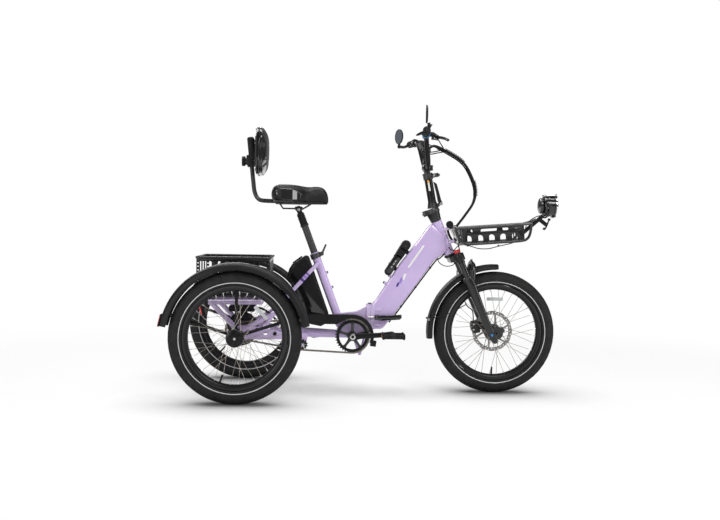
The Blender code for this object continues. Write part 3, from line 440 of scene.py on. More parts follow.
def smoothing_group():
    """Geometry nodes that weld a CAD node's split triangles and shade all but its sharp edges smooth."""
    group = bpy.data.node_groups.new("weld_and_smooth", "GeometryNodeTree")
    for way in ("INPUT", "OUTPUT"):
        group.interface.new_socket("Geometry", in_out=way, socket_type="NodeSocketGeometry")
    start = add(group, "NodeGroupInput").outputs[0]
    drop = add(group, "GeometryNodeRemoveAttribute", Geometry=start, Name="custom_normal").outputs[0]
    weld = add(group, "GeometryNodeMergeByDistance", Geometry=drop, Distance=WELD_DISTANCE).outputs[0]
    faces = add(group, "GeometryNodeSetShadeSmooth", Geometry=weld)
    faces.domain = "FACE"
    bend = add(group, "GeometryNodeInputMeshEdgeAngle").outputs["Unsigned Angle"]
    less = add(group, "FunctionNodeCompare", A=bend, B=radians(SHARP_EDGE))
    less.operation = "LESS_THAN"
    edges = add(group, "GeometryNodeSetShadeSmooth", Geometry=faces.outputs[0], Shade_Smooth=less.outputs["Result"])
    edges.domain = "EDGE"
    wire(group, add(group, "NodeGroupOutput"), Geometry=edges.outputs[0])
    return group


SMOOTHING = smoothing_group()


def dress(node, look):
    """Gives a CAD node its material and smooth shading."""
    piece = NODES[node]
    piece.data.materials.clear()
    piece.data.materials.append(look)
    piece.modifiers.new("weld_and_smooth", "NODES").node_group = SMOOTHING


DRESSED = ((LAVENDER, "rear_frame", "front_frame"), (BLACK_PAINT, "seat_collar", "seat_clamp_lever",
                                                     "frame_latch_lever", "fork_crown", "fork_lowers", "saddle_frame",
                                                     "backrest_slider"),
           (ALLOY, "stem_base", "stem_post", "stem_latch_lever", "height_clamp_lever", "seatpost", "seatpost_inner",
            "drive_motor"), (PLASTIC, "controller_box", "battery", "chain_guard"))
for finish, *names in DRESSED:
    for node in names:
        dress(node, finish)


# Wheels
TYRE_HALF = 0.033
TYRE_MIDDLE = AXLE_Z - TYRE_HALF
RIM_INNER = 0.188
RIM_OUTER = 0.2095
HALF_RIM = 0.019
ROUND_STEPS = 288
TREAD_BLOCKS = 48
TREAD_EDGE = 66
TREAD_DEPTH = 0.0021
GROOVES = (13, 40)
SPOKES = 36
SPOKE_CROSSING = radians(62)


def tread(across, step):
    """How far the tread stands back at an angle in degrees across the tyre and a step round it."""
    side = abs(across)
    if side > TREAD_EDGE:
        return 0.0
    lean = side / TREAD_EDGE * 1.6
    part = (step * TREAD_BLOCKS / ROUND_STEPS + lean + (0.5 if 14 < side < 40 else 0)) % 1.0
    cut = min(abs(side - groove) for groove in GROOVES) < 2.2 or (part < 0.24 and side > 5)
    return TREAD_DEPTH if cut else 0.0


def wheel(label, centre, body, flanges, reflectors, valve):
    """A treaded tyre, its rim, hub, spokes, reflectors and valve. The last two stand at angles in degrees."""
    angles = ([-134, -126, -120, -115.1, -109.1, -100, -88, -76, -67, -65] + list(range(-60, 61, 4))
              + [65, 67, 76, 88, 100, 109.1, 115.1, 120, 126, 134])
    angles = sorted(set(angles + [-15, -11, -42, -38, 11, 15, 38, 42]))
    count = len(angles)
    looks = [1 if (-115.2 < a < -109.2 or 109 < a < 115) else 0 for a in angles[:-1]] + [0] * 8
    loops = []
    for step, turn in enumerate(turns(ROUND_STEPS)):
        out = ray(turn)
        loop = []
        for angle in angles:
            a = radians(angle)
            half = TYRE_HALF - tread(angle, step)
            if 76 < abs(angle) < 100 and step % 6 < 3:
                half += 0.0004
            loop.append(centre + out * (TYRE_MIDDLE + half * cos(a)) + aside(-half * sin(a)))
        for k in range(7):
            a = radians(128 - 256 * k / 6)
            loop.append(centre + out * max(0.2112, TYRE_MIDDLE + 0.028 * cos(a)) + aside(-0.028 * sin(a)))
        loops.append(loop)
    tyre = Piece(label + "_tyre_treaded", TYRE, STRIPE)
    tyre.loft(loops, closed=True, looks=looks[: count - 1] + [0] * 8)
    tyre.done(body, "tyre", label + "_tyre")

    rim = Piece(label + "_rim_boxed", ALLOY)
    profile = [(RIM_OUTER, HALF_RIM), (RIM_OUTER + 0.0012, HALF_RIM - 0.002), (RIM_OUTER - 0.006, HALF_RIM - 0.004),
               (RIM_OUTER - 0.008, 0.0), (RIM_OUTER - 0.006, -HALF_RIM + 0.004),
               (RIM_OUTER + 0.0012, -HALF_RIM + 0.002), (RIM_OUTER, -HALF_RIM), (0.199, -HALF_RIM + 0.001),
               (0.1905, -0.0135), (RIM_INNER, -0.009), (RIM_INNER - 0.0005, 0.0), (RIM_INNER, 0.009),
               (0.1905, 0.0135), (0.199, HALF_RIM - 0.001)]
    rim.turn(profile, centre, steps=128, closed=True)
    rim.done(body, "black_alloy", label + "_rim")

    hub = Piece(label + "_hub_shell", ALLOY, BRUSHED)
    low, high = flanges
    middle = (low + high) / 2
    half = (high - low) / 2
    profile = [(0.012, -half - 0.014), (0.019, -half - 0.008), (0.031, -half - 0.003), (0.032, -half),
               (0.031, -half + 0.003), (0.021, -half + 0.008), (0.017, 0.0), (0.021, half - 0.008),
               (0.031, half - 0.003), (0.032, half), (0.031, half + 0.003), (0.019, half + 0.008),
               (0.012, half + 0.014)]
    middle_point = Vector((centre.x, middle, centre.z))
    hub.turn(profile, middle_point, steps=48)
    low_end, high_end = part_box(label + "_hub")[0].y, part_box(label + "_hub")[1].y
    hub.turn([(0.0048, low_end + 0.0005 - middle), (0.0052, low_end + 0.002 - middle),
              (0.0052, high_end - 0.002 - middle), (0.0048, high_end - 0.0005 - middle)], middle_point, steps=24,
             look=1)
    hub.done(body, "steel", label + "_hub")

    spokes = Piece(label + "_spokes", STEEL, BRUSHED)
    for k in range(SPOKES):
        rim_turn = tau * (k + 0.5) / SPOKES
        cross = SPOKE_CROSSING * (1 if (k // 2) % 2 else -1)
        out = ray(rim_turn)
        foot_out = ray(rim_turn + cross)
        foot = Vector((centre.x, flanges[k % 2], centre.z)) + foot_out * 0.0275
        tip = Vector((centre.x, centre.y + (0.004 if k % 2 else -0.004), centre.z)) + out * (RIM_INNER + 0.001)
        spokes.tube([foot, tip], 0.0009, 6)
        run = (tip - foot).normalized()
        spokes.tube([tip - run * 0.013, tip - run * 0.002, tip], [0.0016, 0.0021, 0.0023], 8, 1)
        spokes.tube([foot - aside(0.0045), foot + aside(0.0045)], 0.0018, 8, 1)
    spokes.done(body, "steel")

    extras = Piece(label + "_wheel_fittings", CLEAR, RUBBER)
    for angle in reflectors:
        out = ray(radians(angle))
        side = -1 if centre.y <= 0 else 1
        spot = centre + out * 0.146 + aside(side * 0.012)
        extras.block(spot, (0.0145, 0.0055, 0.072), 180 - angle, 0.002, 0)
        extras.block(spot, (0.005, 0.0078, 0.064), 180 - angle, 0.0018, 0)
    out = ray(radians(valve))
    root = centre + out * (RIM_INNER + 0.002)
    extras.tube([root, root - out * 0.006, root - out * 0.026], [0.0055, 0.0042, 0.0036], 12, 1)
    extras.tube([root - out * 0.026, root - out * 0.034], 0.004, 12, 1)
    extras.done(body, "rubber")


wheel("rear_right", REAR_AXLE.copy(), "rear_right_wheel", (-HALF_TRACK - 0.022, -HALF_TRACK + 0.022), (45,), 252)
wheel("rear_left", joint_place("rear_left_spin"), "rear_left_wheel", (HALF_TRACK - 0.022, HALF_TRACK + 0.022), (50,),
      230)
wheel("front", FRONT_AXLE.copy(), "front_wheel", (-0.03, 0.03), (90,), 268)

for side, label in SIDES:
    y = side * (HALF_TRACK + 0.026)
    cap = Piece(f"rear_{label}_hub_cap", ALLOY)
    centre = Vector((REAR_AXLE.x, y, AXLE_Z))
    cap.turn([(0.0345, 0), (0.0355, 0.002), (0.0345, 0.0045), (0.031, 0.006), (0.027, 0.0075), (0.017, 0.0085),
              (0.016, 0.0105), (0.009, 0.011)], centre, (0, side, 0), 48)
    for k in range(6):
        turn = tau * k / 6 + 0.2
        cap.bolt(centre + Vector((cos(turn) * 0.0225, side * 0.0072, sin(turn) * 0.0225)), (0, side, 0), 0.0034,
                 0.0022, 0)
    cap.turn([(0.0075, 0.009), (0.0075, 0.0112), (0.005, 0.0114)], centre, (0, side, 0), 6)
    cap.done(f"rear_{label}_wheel", "black_alloy")

rotor = Piece("brake_disc", ROTOR_STEEL, ALLOY)
rotor_y = 0.0365
DISC_EDGE, DISC_WAVE, WAVES = 0.0895, 0.0011, 12
wave = [(FRONT_AXLE.x + (DISC_EDGE + DISC_WAVE * cos(WAVES * a)) * cos(a),
         FRONT_AXLE.z + (DISC_EDGE + DISC_WAVE * cos(WAVES * a)) * sin(a)) for a in turns(144)]
holes = [arc(FRONT_AXLE.x, FRONT_AXLE.z, 0.0735, 72)]
for k, turn in enumerate(turns(36)):
    radius = 0.0785 + 0.0032 * (k % 3)
    holes.append(arc(FRONT_AXLE.x + radius * cos(turn), FRONT_AXLE.z + radius * sin(turn), 0.0024, 8))
rotor.plate([wave, *holes], rotor_y, 0.0019, 0.0003)
for k in range(6):
    a = tau * k / 6
    b = a + 0.35
    start = FRONT_AXLE + Vector((cos(a) * 0.028, rotor_y, sin(a) * 0.028))
    end = FRONT_AXLE + Vector((cos(b) * 0.0745, rotor_y, sin(b) * 0.0745))
    run = end - start
    rotor.block((start + end) / 2, (run.length, 0.0019, 0.0085), slope(run), 0.0006)
    rotor.bolt(FRONT_AXLE + Vector((cos(a) * 0.022, rotor_y + 0.0012, sin(a) * 0.022)), (0, 1, 0), 0.0036, 0.002, 1)
rotor.turn(even((0.019, 0.0012), (0.031, 0.0012)), FRONT_AXLE + aside(rotor_y), steps=48, look=1, closed=True)
rotor.done("front_wheel", "steel", "front_rotor")


# Drive: chain, chainring, cranks, pedals, sprocket and idler
IDLER = joint_place("idler_spin")
SPROCKET = joint_place("sprocket_spin")
PITCH = 0.0127


def chain_path():
    """The chain's line round the idler, the chainring and the sprocket, anticlockwise from the front."""
    wheels = [(IDLER, 0.0232), (CRANK, 0.0732), (SPROCKET, 0.0372)]
    headings = []
    for k, (here, radius) in enumerate(wheels):
        there, other = wheels[(k + 1) % 3]
        dx, dz = there.x - here.x, there.z - here.z
        headings.append(math.atan2(dz, dx) - math.pi / 2 + math.asin((radius - other) / math.hypot(dx, dz)))
    points = []
    for k, (here, radius) in enumerate(wheels):
        start, stop = headings[k - 1], headings[k]
        stop += tau * math.ceil((start - stop) / tau)
        for n in range(25):
            a = start + (stop - start) * n / 24
            points.append(Vector((here.x + radius * cos(a), CHAIN_Y, here.z + radius * sin(a))))
    return points


def evenly(points, pitch):
    """Points one pitch apart along a closed line, with the pitch stretched to fit a whole even number."""
    loop = [*points, points[0]]
    lengths = [(b - a).length for a, b in zip(loop, loop[1:])]
    number = round(sum(lengths) / pitch / 2) * 2
    pitch = sum(lengths) / number
    found = []
    travelled = 0.0
    for a, b, length in zip(loop, loop[1:], lengths):
        while len(found) < number and len(found) * pitch <= travelled + length:
            found.append(a.lerp(b, (len(found) * pitch - travelled) / max(length, 1e-9)))
        travelled += length
    return found


chain = Piece("roller_chain", CHAIN_STEEL)
pins = evenly(chain_path(), PITCH)
for k, here in enumerate(pins):
    there = pins[(k + 1) % len(pins)]
    run = there - here
    tilt = slope(run)
    for side in (-1, 1):
        y = side * (0.0032 if k % 2 else 0.0022)
        chain.block((here + there) / 2 + aside(y), (PITCH + 0.0068, 0.0008, 0.0072), tilt, 0.0003, segments=1)
    chain.tube([here + aside(-0.0038), here + aside(0.0038)], 0.0022, 8)
chain.done("frame", "steel", "drive_chain")


def toothed(x, z, root, tip, teeth):
    """The outline of a sprocket."""
    points = []
    for k in range(teeth):
        for part, radius in ((0.0, root), (0.22, root), (0.42, tip), (0.58, tip), (0.8, root)):
            turn = tau * (k + part) / teeth
            points.append((x + radius * cos(turn), z + radius * sin(turn)))
    return points


ring = Piece("toothed_chainring", ALLOY)
cx, cz = CRANK.x, CRANK.z
ring.plate([toothed(cx, cz, 0.0695, 0.0755, 36), arc(cx, cz, 0.057, 72)], CHAIN_Y, 0.003, 0.0004)
ring.turn(even((0.0125, 0.004), (0.02, 0.004), (0.022, 0.0)), CRANK + aside(CHAIN_Y), steps=40, closed=True)
for k in range(5):
    out = ray(radians(90 + 72 * k))
    ring.loft([[CRANK + aside(CHAIN_Y) + out * d + Vector((-out.z, 0, out.x)) * (w * s) + aside(t * 0.0022)
                for s, t in ((-1, -1), (1, -1), (1, 1), (-1, 1))]
               for d, w in ((0.016, 0.0095), (0.03, 0.0062), (0.048, 0.0056), (0.059, 0.009))])
    ring.bolt(CRANK + aside(CHAIN_Y - 0.002) + out * 0.058, (0, -1, 0), 0.0042, 0.0022)
ring.done("crankset", "black_alloy", "chainring")

for side, label in SIDES:
    far = joint_place(f"{label}_pedal_spin")
    far = Vector((far.x, 0, far.z))
    reach = far - Vector((CRANK.x, 0, CRANK.z))
    out = reach.normalized()
    up = Vector((-out.z, 0, out.x))
    y = side * 0.082
    arm = Piece(f"crank_arm_{label}", ALLOY, BRUSHED)
    stations = ((-0.017, 0.009, 0.0055), (-0.01, 0.0155, 0.0075), (0.0, 0.0172, 0.008), (0.012, 0.015, 0.0075),
                (0.04, 0.0115, 0.0064), (0.13, 0.0108, 0.006), (0.158, 0.0128, 0.0062), (0.17, 0.0136, 0.0063),
                (0.179, 0.0105, 0.0058), (0.1835, 0.005, 0.0048))
    loops = []
    for along, width, depth in stations:
        base = Vector((CRANK.x, y, CRANK.z)) + out * along
        loops.append([base + up * (width * bent(sin(a), 0.6)) + aside(depth * bent(cos(a), 0.6)) for a in turns(24)])
    arm.loft(loops)
    hub_at = Vector((CRANK.x, y, CRANK.z))
    arm.turn([(0.0125, 0.005), (0.0125, 0.0085), (0.01, 0.0095), (0.0065, 0.0095), (0.006, 0.007), (0.001, 0.007)],
             hub_at, (0, side, 0), 24, 1)
    if side < 0:
        arm.tube([(CRANK.x, -0.078, CRANK.z), (CRANK.x, 0.078, CRANK.z)], 0.0105, 20, 1)
    arm.done("crankset", "black_alloy", "crank_" + label)

    pedal = Piece(f"platform_pedal_{label}", PLASTIC, AMBER, BRUSHED, ALLOY)
    middle = far + aside(side * 0.142)
    for dx in (-0.043, 0.043):
        pedal.block(middle + Vector((dx, 0, 0)), (0.011, 0.088, 0.021), 0, 0.003)
        pedal.block(middle + Vector((dx + math.copysign(0.0052, dx), 0, 0)), (0.0022, 0.04, 0.01), 0, 0.0008, 1)
        for k in range(6):
            pedal.block(middle + Vector((dx, -0.036 + 0.0144 * k, 0)), (0.008, 0.005, 0.0255), 0, 0.001)
    for dy in (-0.041, 0.041):
        pedal.block(middle + aside(dy), (0.088, 0.007, 0.019), 0, 0.002)
    pedal.block(middle, (0.018, 0.084, 0.02), 0, 0.006)
    for dx in (-0.022, 0.022):
        pedal.block(middle + Vector((dx, 0, 0)), (0.03, 0.006, 0.013), 0, 0.002)
        pedal.block(middle + Vector((dx, side * 0.024, 0)), (0.03, 0.005, 0.013), 0, 0.002)
    pedal.tube([far + aside(side * 0.077), far + aside(side * 0.098)], 0.0048, 14, 2)
    pedal.turn([(0.009, 0), (0.009, 0.004), (0.006, 0.0055)], middle + aside(side * 0.04), (0, side, 0), 20, 3)
    pedal.done(label + "_pedal", "black_plastic", "pedal_" + label)

gears = Piece("rear_sprocket_toothed", CHAIN_STEEL, ALLOY)
gears.plate([toothed(SPROCKET.x, SPROCKET.z, 0.033, 0.039, 18), arc(SPROCKET.x, SPROCKET.z, 0.0205, 40)], CHAIN_Y,
            0.0026, 0.0003)
gears.turn(even((0.0205, 0.006), (0.027, 0.006)), SPROCKET, steps=40, look=1, closed=True)
gears.done("sprocket", "steel", "rear_sprocket")
jockey = Piece("idler_wheel_toothed", PLASTIC, BRUSHED)
windows = [arc(IDLER.x + 0.0122 * cos(a), IDLER.z + 0.0122 * sin(a), 0.0025, 8) for a in turns(6)]
jockey.plate([toothed(IDLER.x, IDLER.z, 0.019, 0.024, 11), arc(IDLER.x, IDLER.z, 0.005, 16), *windows], CHAIN_Y,
             0.005, 0.0006)
jockey.turn(even((0.0045, 0.0055), (0.008, 0.005)), IDLER, steps=24, look=1, closed=True)
jockey.done("idler", "black_plastic", "idler_wheel")


# Fenders
FENDER_WALL = 0.0021
FENDER_STEPS = 72


def fender(name, body, node, centre, outer, half, lip, start, stop, extras):
    """A curved shell from one angle to another, thinner at its ends, with the extras added to the same piece."""
    skin = Piece(name, FENDER, RED, BRUSHED)
    section = []
    for k in range(17):
        a = radians(-90 + 180 * k / 16)
        drop = outer - lip + lip * min(1.0, cos(a) ** 0.55 if abs(k - 8) < 8 else 0.0)
        section.append((drop, half * bent(sin(a), 0.75)))
    inner = [(radius - FENDER_WALL if 0 < k < 16 else radius, y * (1 - 0.0019 / half))
             for k, (radius, y) in enumerate(section)]
    ring = section + inner[::-1]
    loops = []
    for k in range(FENDER_STEPS + 1):
        out = ray(radians(start + (stop - start) * k / FENDER_STEPS))
        end = min(k, FENDER_STEPS - k)
        tuck = 1.0 if end > 2 else 0.9 + 0.034 * end
        loops.append([centre + out * (radius if end > 2 else outer - (outer - radius) * tuck - 0.0005)
                      + aside(y * tuck) for radius, y in ring])
    skin.loft(loops)
    extras(skin)
    return skin.done(body, "black_plastic", node)


for side, label in SIDES:
    centre = Vector((REAR_AXLE.x, side * HALF_TRACK, AXLE_Z))
    stay_y = side * (HALF_TRACK - 0.045)

    def stays(skin, centre=centre, stay_y=stay_y, side=side):
        for angle in (18, 90, 162):
            out = ray(radians(angle))
            foot = Vector((centre.x, stay_y, AXLE_Z)) + out * 0.028
            skin.block(foot + out * 0.127, (0.258, 0.0042, 0.013), -angle, 0.0012)
            skin.bolt(foot + out * 0.248 + aside(side * 0.002), (0, side, 0), 0.0045, 0.003, 2)
        skin.turn(even((0.0205, 0.0028), (0.034, 0.0028)), Vector((centre.x, stay_y, AXLE_Z)), steps=48, closed=True)
        out = ray(radians(167))
        skin.block(centre + out * 0.3052, (0.006, 0.046, 0.052), 13, 0.002)
        skin.block(centre + out * 0.3078, (0.005, 0.04, 0.046), 13, 0.0015, 1)

    fender(f"rear_fender_skin_{label}", "frame", f"rear_fender_{label}", centre, 0.303, 0.042, 0.03, 10, 171, stays)


def front_stays(skin):
    for side in (-1, 1):
        route = smooth([at(0.815, 0.322, side * 0.041), at(0.905, 0.352, side * 0.052),
                        at(0.972, 0.393, side * 0.0775)], 6)
        skin.tube(route, 0.0021, 8)
        skin.bolt(at(0.817, 0.322, side * 0.0405), (0, side, 0), 0.0045, 0.003, 2)
    skin.block(on_head(0.066, 0, -0.169), (0.016, 0.014, 0.014), HEAD_TILT, 0.002)


fender("front_fender_skin", "fork", "front_fender", FRONT_AXLE, 0.3, 0.041, 0.024, 88, 186, front_stays)


# Rear basket: slotted sheet panels under a rolled rim
BASKET_X = (-0.176, 0.128)
BASKET_HALF = 0.188
BASKET_LOW, BASKET_HIGH = 0.42, 0.584
upright = Matrix.Rotation(radians(90), 4, "X")
facing_back = Matrix.Rotation(radians(90), 4, "Z") @ upright


def basket_panel(piece, x1, x2, place, window):
    """A slotted panel with round-cornered windows and a ladder of small slots in its corner columns."""
    middle = (BASKET_LOW + BASKET_HIGH) / 2
    pitch = (x2 - x1) / 4
    holes = [slit(x1 + pitch * (k + 0.5), middle, window[0] / 2, window[1] / 2, 0.006) for k in range(4)]
    for x in (x1 + 0.008, x2 - 0.008):
        for k in range(9):
            z = middle + (k - 4) * (window[1] / 9)
            holes.append(slit(x, z, 0.0045, 0.0024, 0.002, 3))
    piece.plate([rounded(x1, x2, BASKET_LOW, BASKET_HIGH, 0.004), *holes], 0, 0.003, 0.0006, matrix=place)


basket = Piece("rear_basket_panels", BLACK_PAINT, ALLOY)
for side in (-1, 1):
    basket_panel(basket, *BASKET_X, Matrix.Translation(at(0, 0, side * (BASKET_HALF - 0.002))) @ upright,
                 (0.05, 0.132))
for x in BASKET_X:
    inset = 0.002 if x < 0 else -0.002
    basket_panel(basket, -BASKET_HALF, BASKET_HALF, Matrix.Translation(at(x + inset, 0)) @ facing_back,
                 (0.064, 0.132))
slots = [rounded(BASKET_X[0] + 0.028, BASKET_X[1] - 0.028, y - 0.015, y + 0.015, 0.008) for y in (-0.125, 0.0, 0.125)]
slots += [slit(x, y, 0.012, 0.004, 0.0035, 3) for x in (-0.13, -0.078, -0.024, 0.03, 0.082)
          for y in (-0.078, -0.05, 0.05, 0.078)]
basket.plate([rounded(BASKET_X[0], BASKET_X[1], -BASKET_HALF, BASKET_HALF, 0.004), *slots], 0, 0.003, 0.0006,
             matrix=Matrix.Translation(at(0, 0.4218)))
corners = [(BASKET_X[0], -BASKET_HALF), (BASKET_X[1], -BASKET_HALF), (BASKET_X[1], BASKET_HALF),
           (BASKET_X[0], BASKET_HALF)]
rim_route = []
for (x, y), start in zip(corners, (180, 270, 0, 90)):
    inner_x, inner_y = x - math.copysign(0.012, x + 0.024), y - math.copysign(0.012, y)
    rim_route += [at(px, 0.5835, py) for px, py in arc(inner_x, inner_y, 0.012, 5, start, start + 90)]
basket.tube(rim_route, 0.0056, 12, closed=True)
for x in (-0.11, 0.07):
    basket.tube(straight(x, 0.4125, 0.118), 0.008, 16)
    for y in (-0.115, 0.115):
        basket.bolt(at(x, 0.4232, y), (0, 0, 1), 0.0055, 0.003, 1)
basket.done("frame", "black_metal", "rear_basket")

# Front rack: two tube hoops, slotted side plates and a lamp arm, all tipped up at the front
RACK_TOP = 0.722
RACK_TILT = (Matrix.Translation(at(0.915, RACK_TOP)) @ Matrix.Rotation(radians(-4.5), 4, "Y")
             @ Matrix.Translation(-at(0.915, RACK_TOP)))
rack = Piece("front_rack_tubes", BLACK_PAINT, BRUSHED)
for side in (-1, 1):
    y = side * 0.125
    holes = [rounded(0.96, 0.985, 0.6965, 0.712, 0.006), rounded(1.02, 1.14, 0.6985, 0.712, 0.006),
             rounded(1.166, 1.194, 0.6985, 0.712, 0.006)]
    for x in (0.966, 1.016, 1.066, 1.116, 1.166):
        holes.append([*arc(x, 0.674, 0.013, 9, 0, 180), (x - 0.013, 0.656), (x + 0.013, 0.656)])
    rack.plate([rounded(0.94, 1.208, 0.6525, 0.72, 0.004), *holes], 0, 0.003, 0.0005,
               matrix=Matrix.Translation(at(0, 0, y)) @ upright)
    rack.tube(smooth([at(0.915, RACK_TOP, y), at(0.918, 0.7, y), at(0.93, 0.672, y), at(0.952, 0.655, y),
                      at(0.985, 0.6505, y), at(1.1, 0.6505, y), at(1.192, 0.651, y), at(1.222, 0.661, y),
                      at(1.236, 0.69, y), at(1.24, RACK_TOP, y)], 5), 0.0058, 12)
    rack.tube([at(0.912, RACK_TOP, y), at(1.243, RACK_TOP, y)], 0.006, 12)
for x in (0.915, 1.24):
    rack.tube(straight(x, RACK_TOP, 0.1265), 0.0062, 12)
for x in (0.952, 1.0, 1.1, 1.198):
    rack.tube(straight(x, 0.6515, 0.123), 0.0046, 10)
for x in (0.945, 1.203):
    holes = [[*arc(y, 0.674, 0.015, 9, 0, 180), (y - 0.015, 0.66), (y + 0.015, 0.66)]
             for y in (-0.088, -0.044, 0.0, 0.044, 0.088)]
    rack.plate([rounded(-0.123, 0.123, 0.654, 0.718, 0.004), *holes], 0, 0.003, 0.0005,
               matrix=Matrix.Translation(at(x, 0)) @ facing_back)
slots = [slit(x, y, 0.03, 0.009, 0.007) for x in (0.992, 1.075, 1.158) for y in (-0.09, -0.045, 0.0, 0.045, 0.09)]
rack.plate([rounded(0.942, 1.206, -0.122, 0.122, 0.004), *slots], 0, 0.0028, 0.0005,
           matrix=Matrix.Translation(at(0, 0.656)))
rack.tube(smooth([at(1.236, RACK_TOP), at(1.262, 0.727), at(1.292, 0.737)], 6), 0.0078, 14)
for side in (-1, 1):
    rack.tube(smooth([at(1.222, 0.7205, side * 0.05), at(1.25, 0.723, side * 0.024), at(1.276, 0.731, side * 0.006)],
                     5), 0.0046, 10)
bmesh.ops.transform(rack.mesh, matrix=RACK_TILT, verts=rack.mesh.verts)
for along in (0.03, -0.03):
    for y in (-0.013, 0.013):
        rack.tube([on_head(0.0405, y, along), on_head(0.052, y, along)], 0.0064, 14)
        rack.bolt(on_head(0.056, y, along), on_head(1, 0, 0) - on_head(0, 0, 0), 0.0048, 0.003, 1)
rack.block(on_head(0.0535, 0, 0.0), (0.0055, 0.046, 0.09), HEAD_TILT, 0.002, 1)
rack.block(on_head(0.0595, 0, -0.0445), (0.017, 0.03, 0.012), HEAD_TILT, 0.002)
rack.done("front", "black_metal", "front_rack")

lamp = Piece("headlight_drum", GLOSS, CHROME, LENS, ALLOY)
AHEAD = (1, 0, 0)
lamp.turn([(0.001, -0.001), (0.026, 0.0), (0.0335, 0.003), (0.0345, 0.009), (0.0325, 0.017), (0.026, 0.019)],
          at(1.301, 0.828), AHEAD, 56)
lamp.turn([(0.0325, 0.0), (0.0352, 0.001), (0.0352, 0.003), (0.0325, 0.004)], at(1.3065, 0.828), AHEAD, 56, 3,
          closed=True)
lamp.turn([(0.026, 0.0), (0.044, 0.0015), (0.0465, 0.005), (0.0465, 0.01), (0.0445, 0.0115), (0.0445, 0.015),
           (0.047, 0.0165), (0.047, 0.024), (0.0455, 0.0255), (0.0455, 0.042), (0.0472, 0.0435), (0.0472, 0.049),
           (0.044, 0.0515), (0.02, 0.052)], at(1.3195, 0.827), AHEAD, 64)
lamp.turn([(0.0395, 0), (0.044, 0.001), (0.044, 0.006), (0.0425, 0.0078), (0.0395, 0.0078)], at(1.37, 0.826), AHEAD,
          64, 1, closed=True)
lamp.turn([(0.001, 0.0085), (0.02, 0.008), (0.0398, 0.006), (0.0398, 0.001), (0.001, 0.001)], at(1.3705, 0.826),
          AHEAD, 64, 2, closed=True)
lamp.block(at(1.3475, 0.8745), (0.054, 0.06, 0.007), -3, 0.0026, 1)
lamp.block(at(1.368, 0.8705), (0.02, 0.056, 0.006), 20, 0.0022, 0)
lamp.block(at(1.366, 0.781), (0.016, 0.04, 0.008), -18, 0.003, 0)
for side in (-1, 1):
    lamp.bolt(at(1.336, 0.83, side * 0.046), (0, side, 0), 0.007, 0.0035, 3)
    lamp.bolt(at(1.3315, 0.842, side * 0.0455), (0, side, 0), 0.003, 0.003, 1)
    lamp.bolt(at(1.3315, 0.818, side * 0.0455), (0, side, 0), 0.003, 0.003, 1)
hoop = smooth([at(1.336, 0.838, 0.047), at(1.336, 0.806, 0.0478), at(1.331, 0.782, 0.034), at(1.326, 0.776, 0.0),
               at(1.331, 0.782, -0.034), at(1.336, 0.806, -0.0478), at(1.336, 0.838, -0.047)], 6)
lamp.tube(hoop, 0.0036, 10, 3)
lamp.tube(smooth([at(1.226, 0.702), at(1.262, 0.733), at(1.296, 0.763), at(1.318, 0.784)], 5), 0.009, 16, 3)
lamp.tube(smooth([at(1.3, 0.77), at(1.318, 0.758), at(1.336, 0.744)], 5), 0.0088, 16, 3)
lamp.tube(smooth([at(1.327, 0.727), at(1.334, 0.732), at(1.34, 0.745), at(1.348, 0.768)], 5), 0.0034, 12, 3)
for x, z in ((1.327, 0.727), (1.348, 0.768)):
    lamp.turn(even((0.001, 0.01), (0.0052, 0.0085), (0.0062, 0.0)), at(x, z), steps=24, look=3)
lamp.done("front", "black_plastic", "headlight")

# Folding lock in its holder
lock_low, lock_high = at(0.63, 0.514), at(0.724, 0.661)
lock_run = (lock_high - lock_low).normalized()
lock_tilt = math.atan2(lock_run.z, lock_run.x)
lock_middle = (lock_low + lock_high) / 2
lock_slope = -math.degrees(lock_tilt)
lock_place = Matrix.Translation(lock_middle) @ Matrix.Rotation(-lock_tilt, 4, "Y") @ upright
lock = Piece("folding_lock_case", PLASTIC, GLOSS, BRUSHED)


def stadium(half_length, radius):
    """The outline of a slot with round ends."""
    return [*arc(half_length, 0, radius, 13, -90, 90), *arc(-half_length, 0, radius, 13, 90, 270)]


lock.plate([stadium(0.071, 0.0168)], 0, 0.03, 0.006, matrix=lock_place)
lock.plate([[*arc(0.07, 0, 0.0205, 15, -90, 90), (0.0, 0.018), (0.0, -0.018)]], 0, 0.0335, 0.007, matrix=lock_place)
lock.plate([stadium(0.064, 0.014)], 0, 0.0326, 0.004, 1, matrix=lock_place)
for along in (-0.045, -0.03, -0.015):
    for side in (-1, 1):
        lock.block(lock_middle + lock_run * along + aside(side * 0.0166), (0.009, 0.0012, 0.0045), lock_slope, 0.0004,
                   2)
for along in (-0.068, 0.066):
    for side in (-1, 1):
        centre = lock_middle + lock_run * along + aside(side * (0.0145 if along < 0 else 0.0165))
        lock.bolt(centre, (0, side, 0), 0.006, 0.0016, 1)
square = Vector((-lock_run.z, 0, lock_run.x))
for along in (-0.038, 0.01, 0.046):
    centre = lock_middle + lock_run * along
    lock.block(centre, (0.014, 0.0335, 0.036), lock_slope, 0.004)
for along in (-0.044, 0.045):
    lock.block(lock_middle + lock_run * along - square * 0.0225, (0.018, 0.02, 0.02), lock_slope, 0.002)
lock.done("front", "black_plastic", "folding_lock")

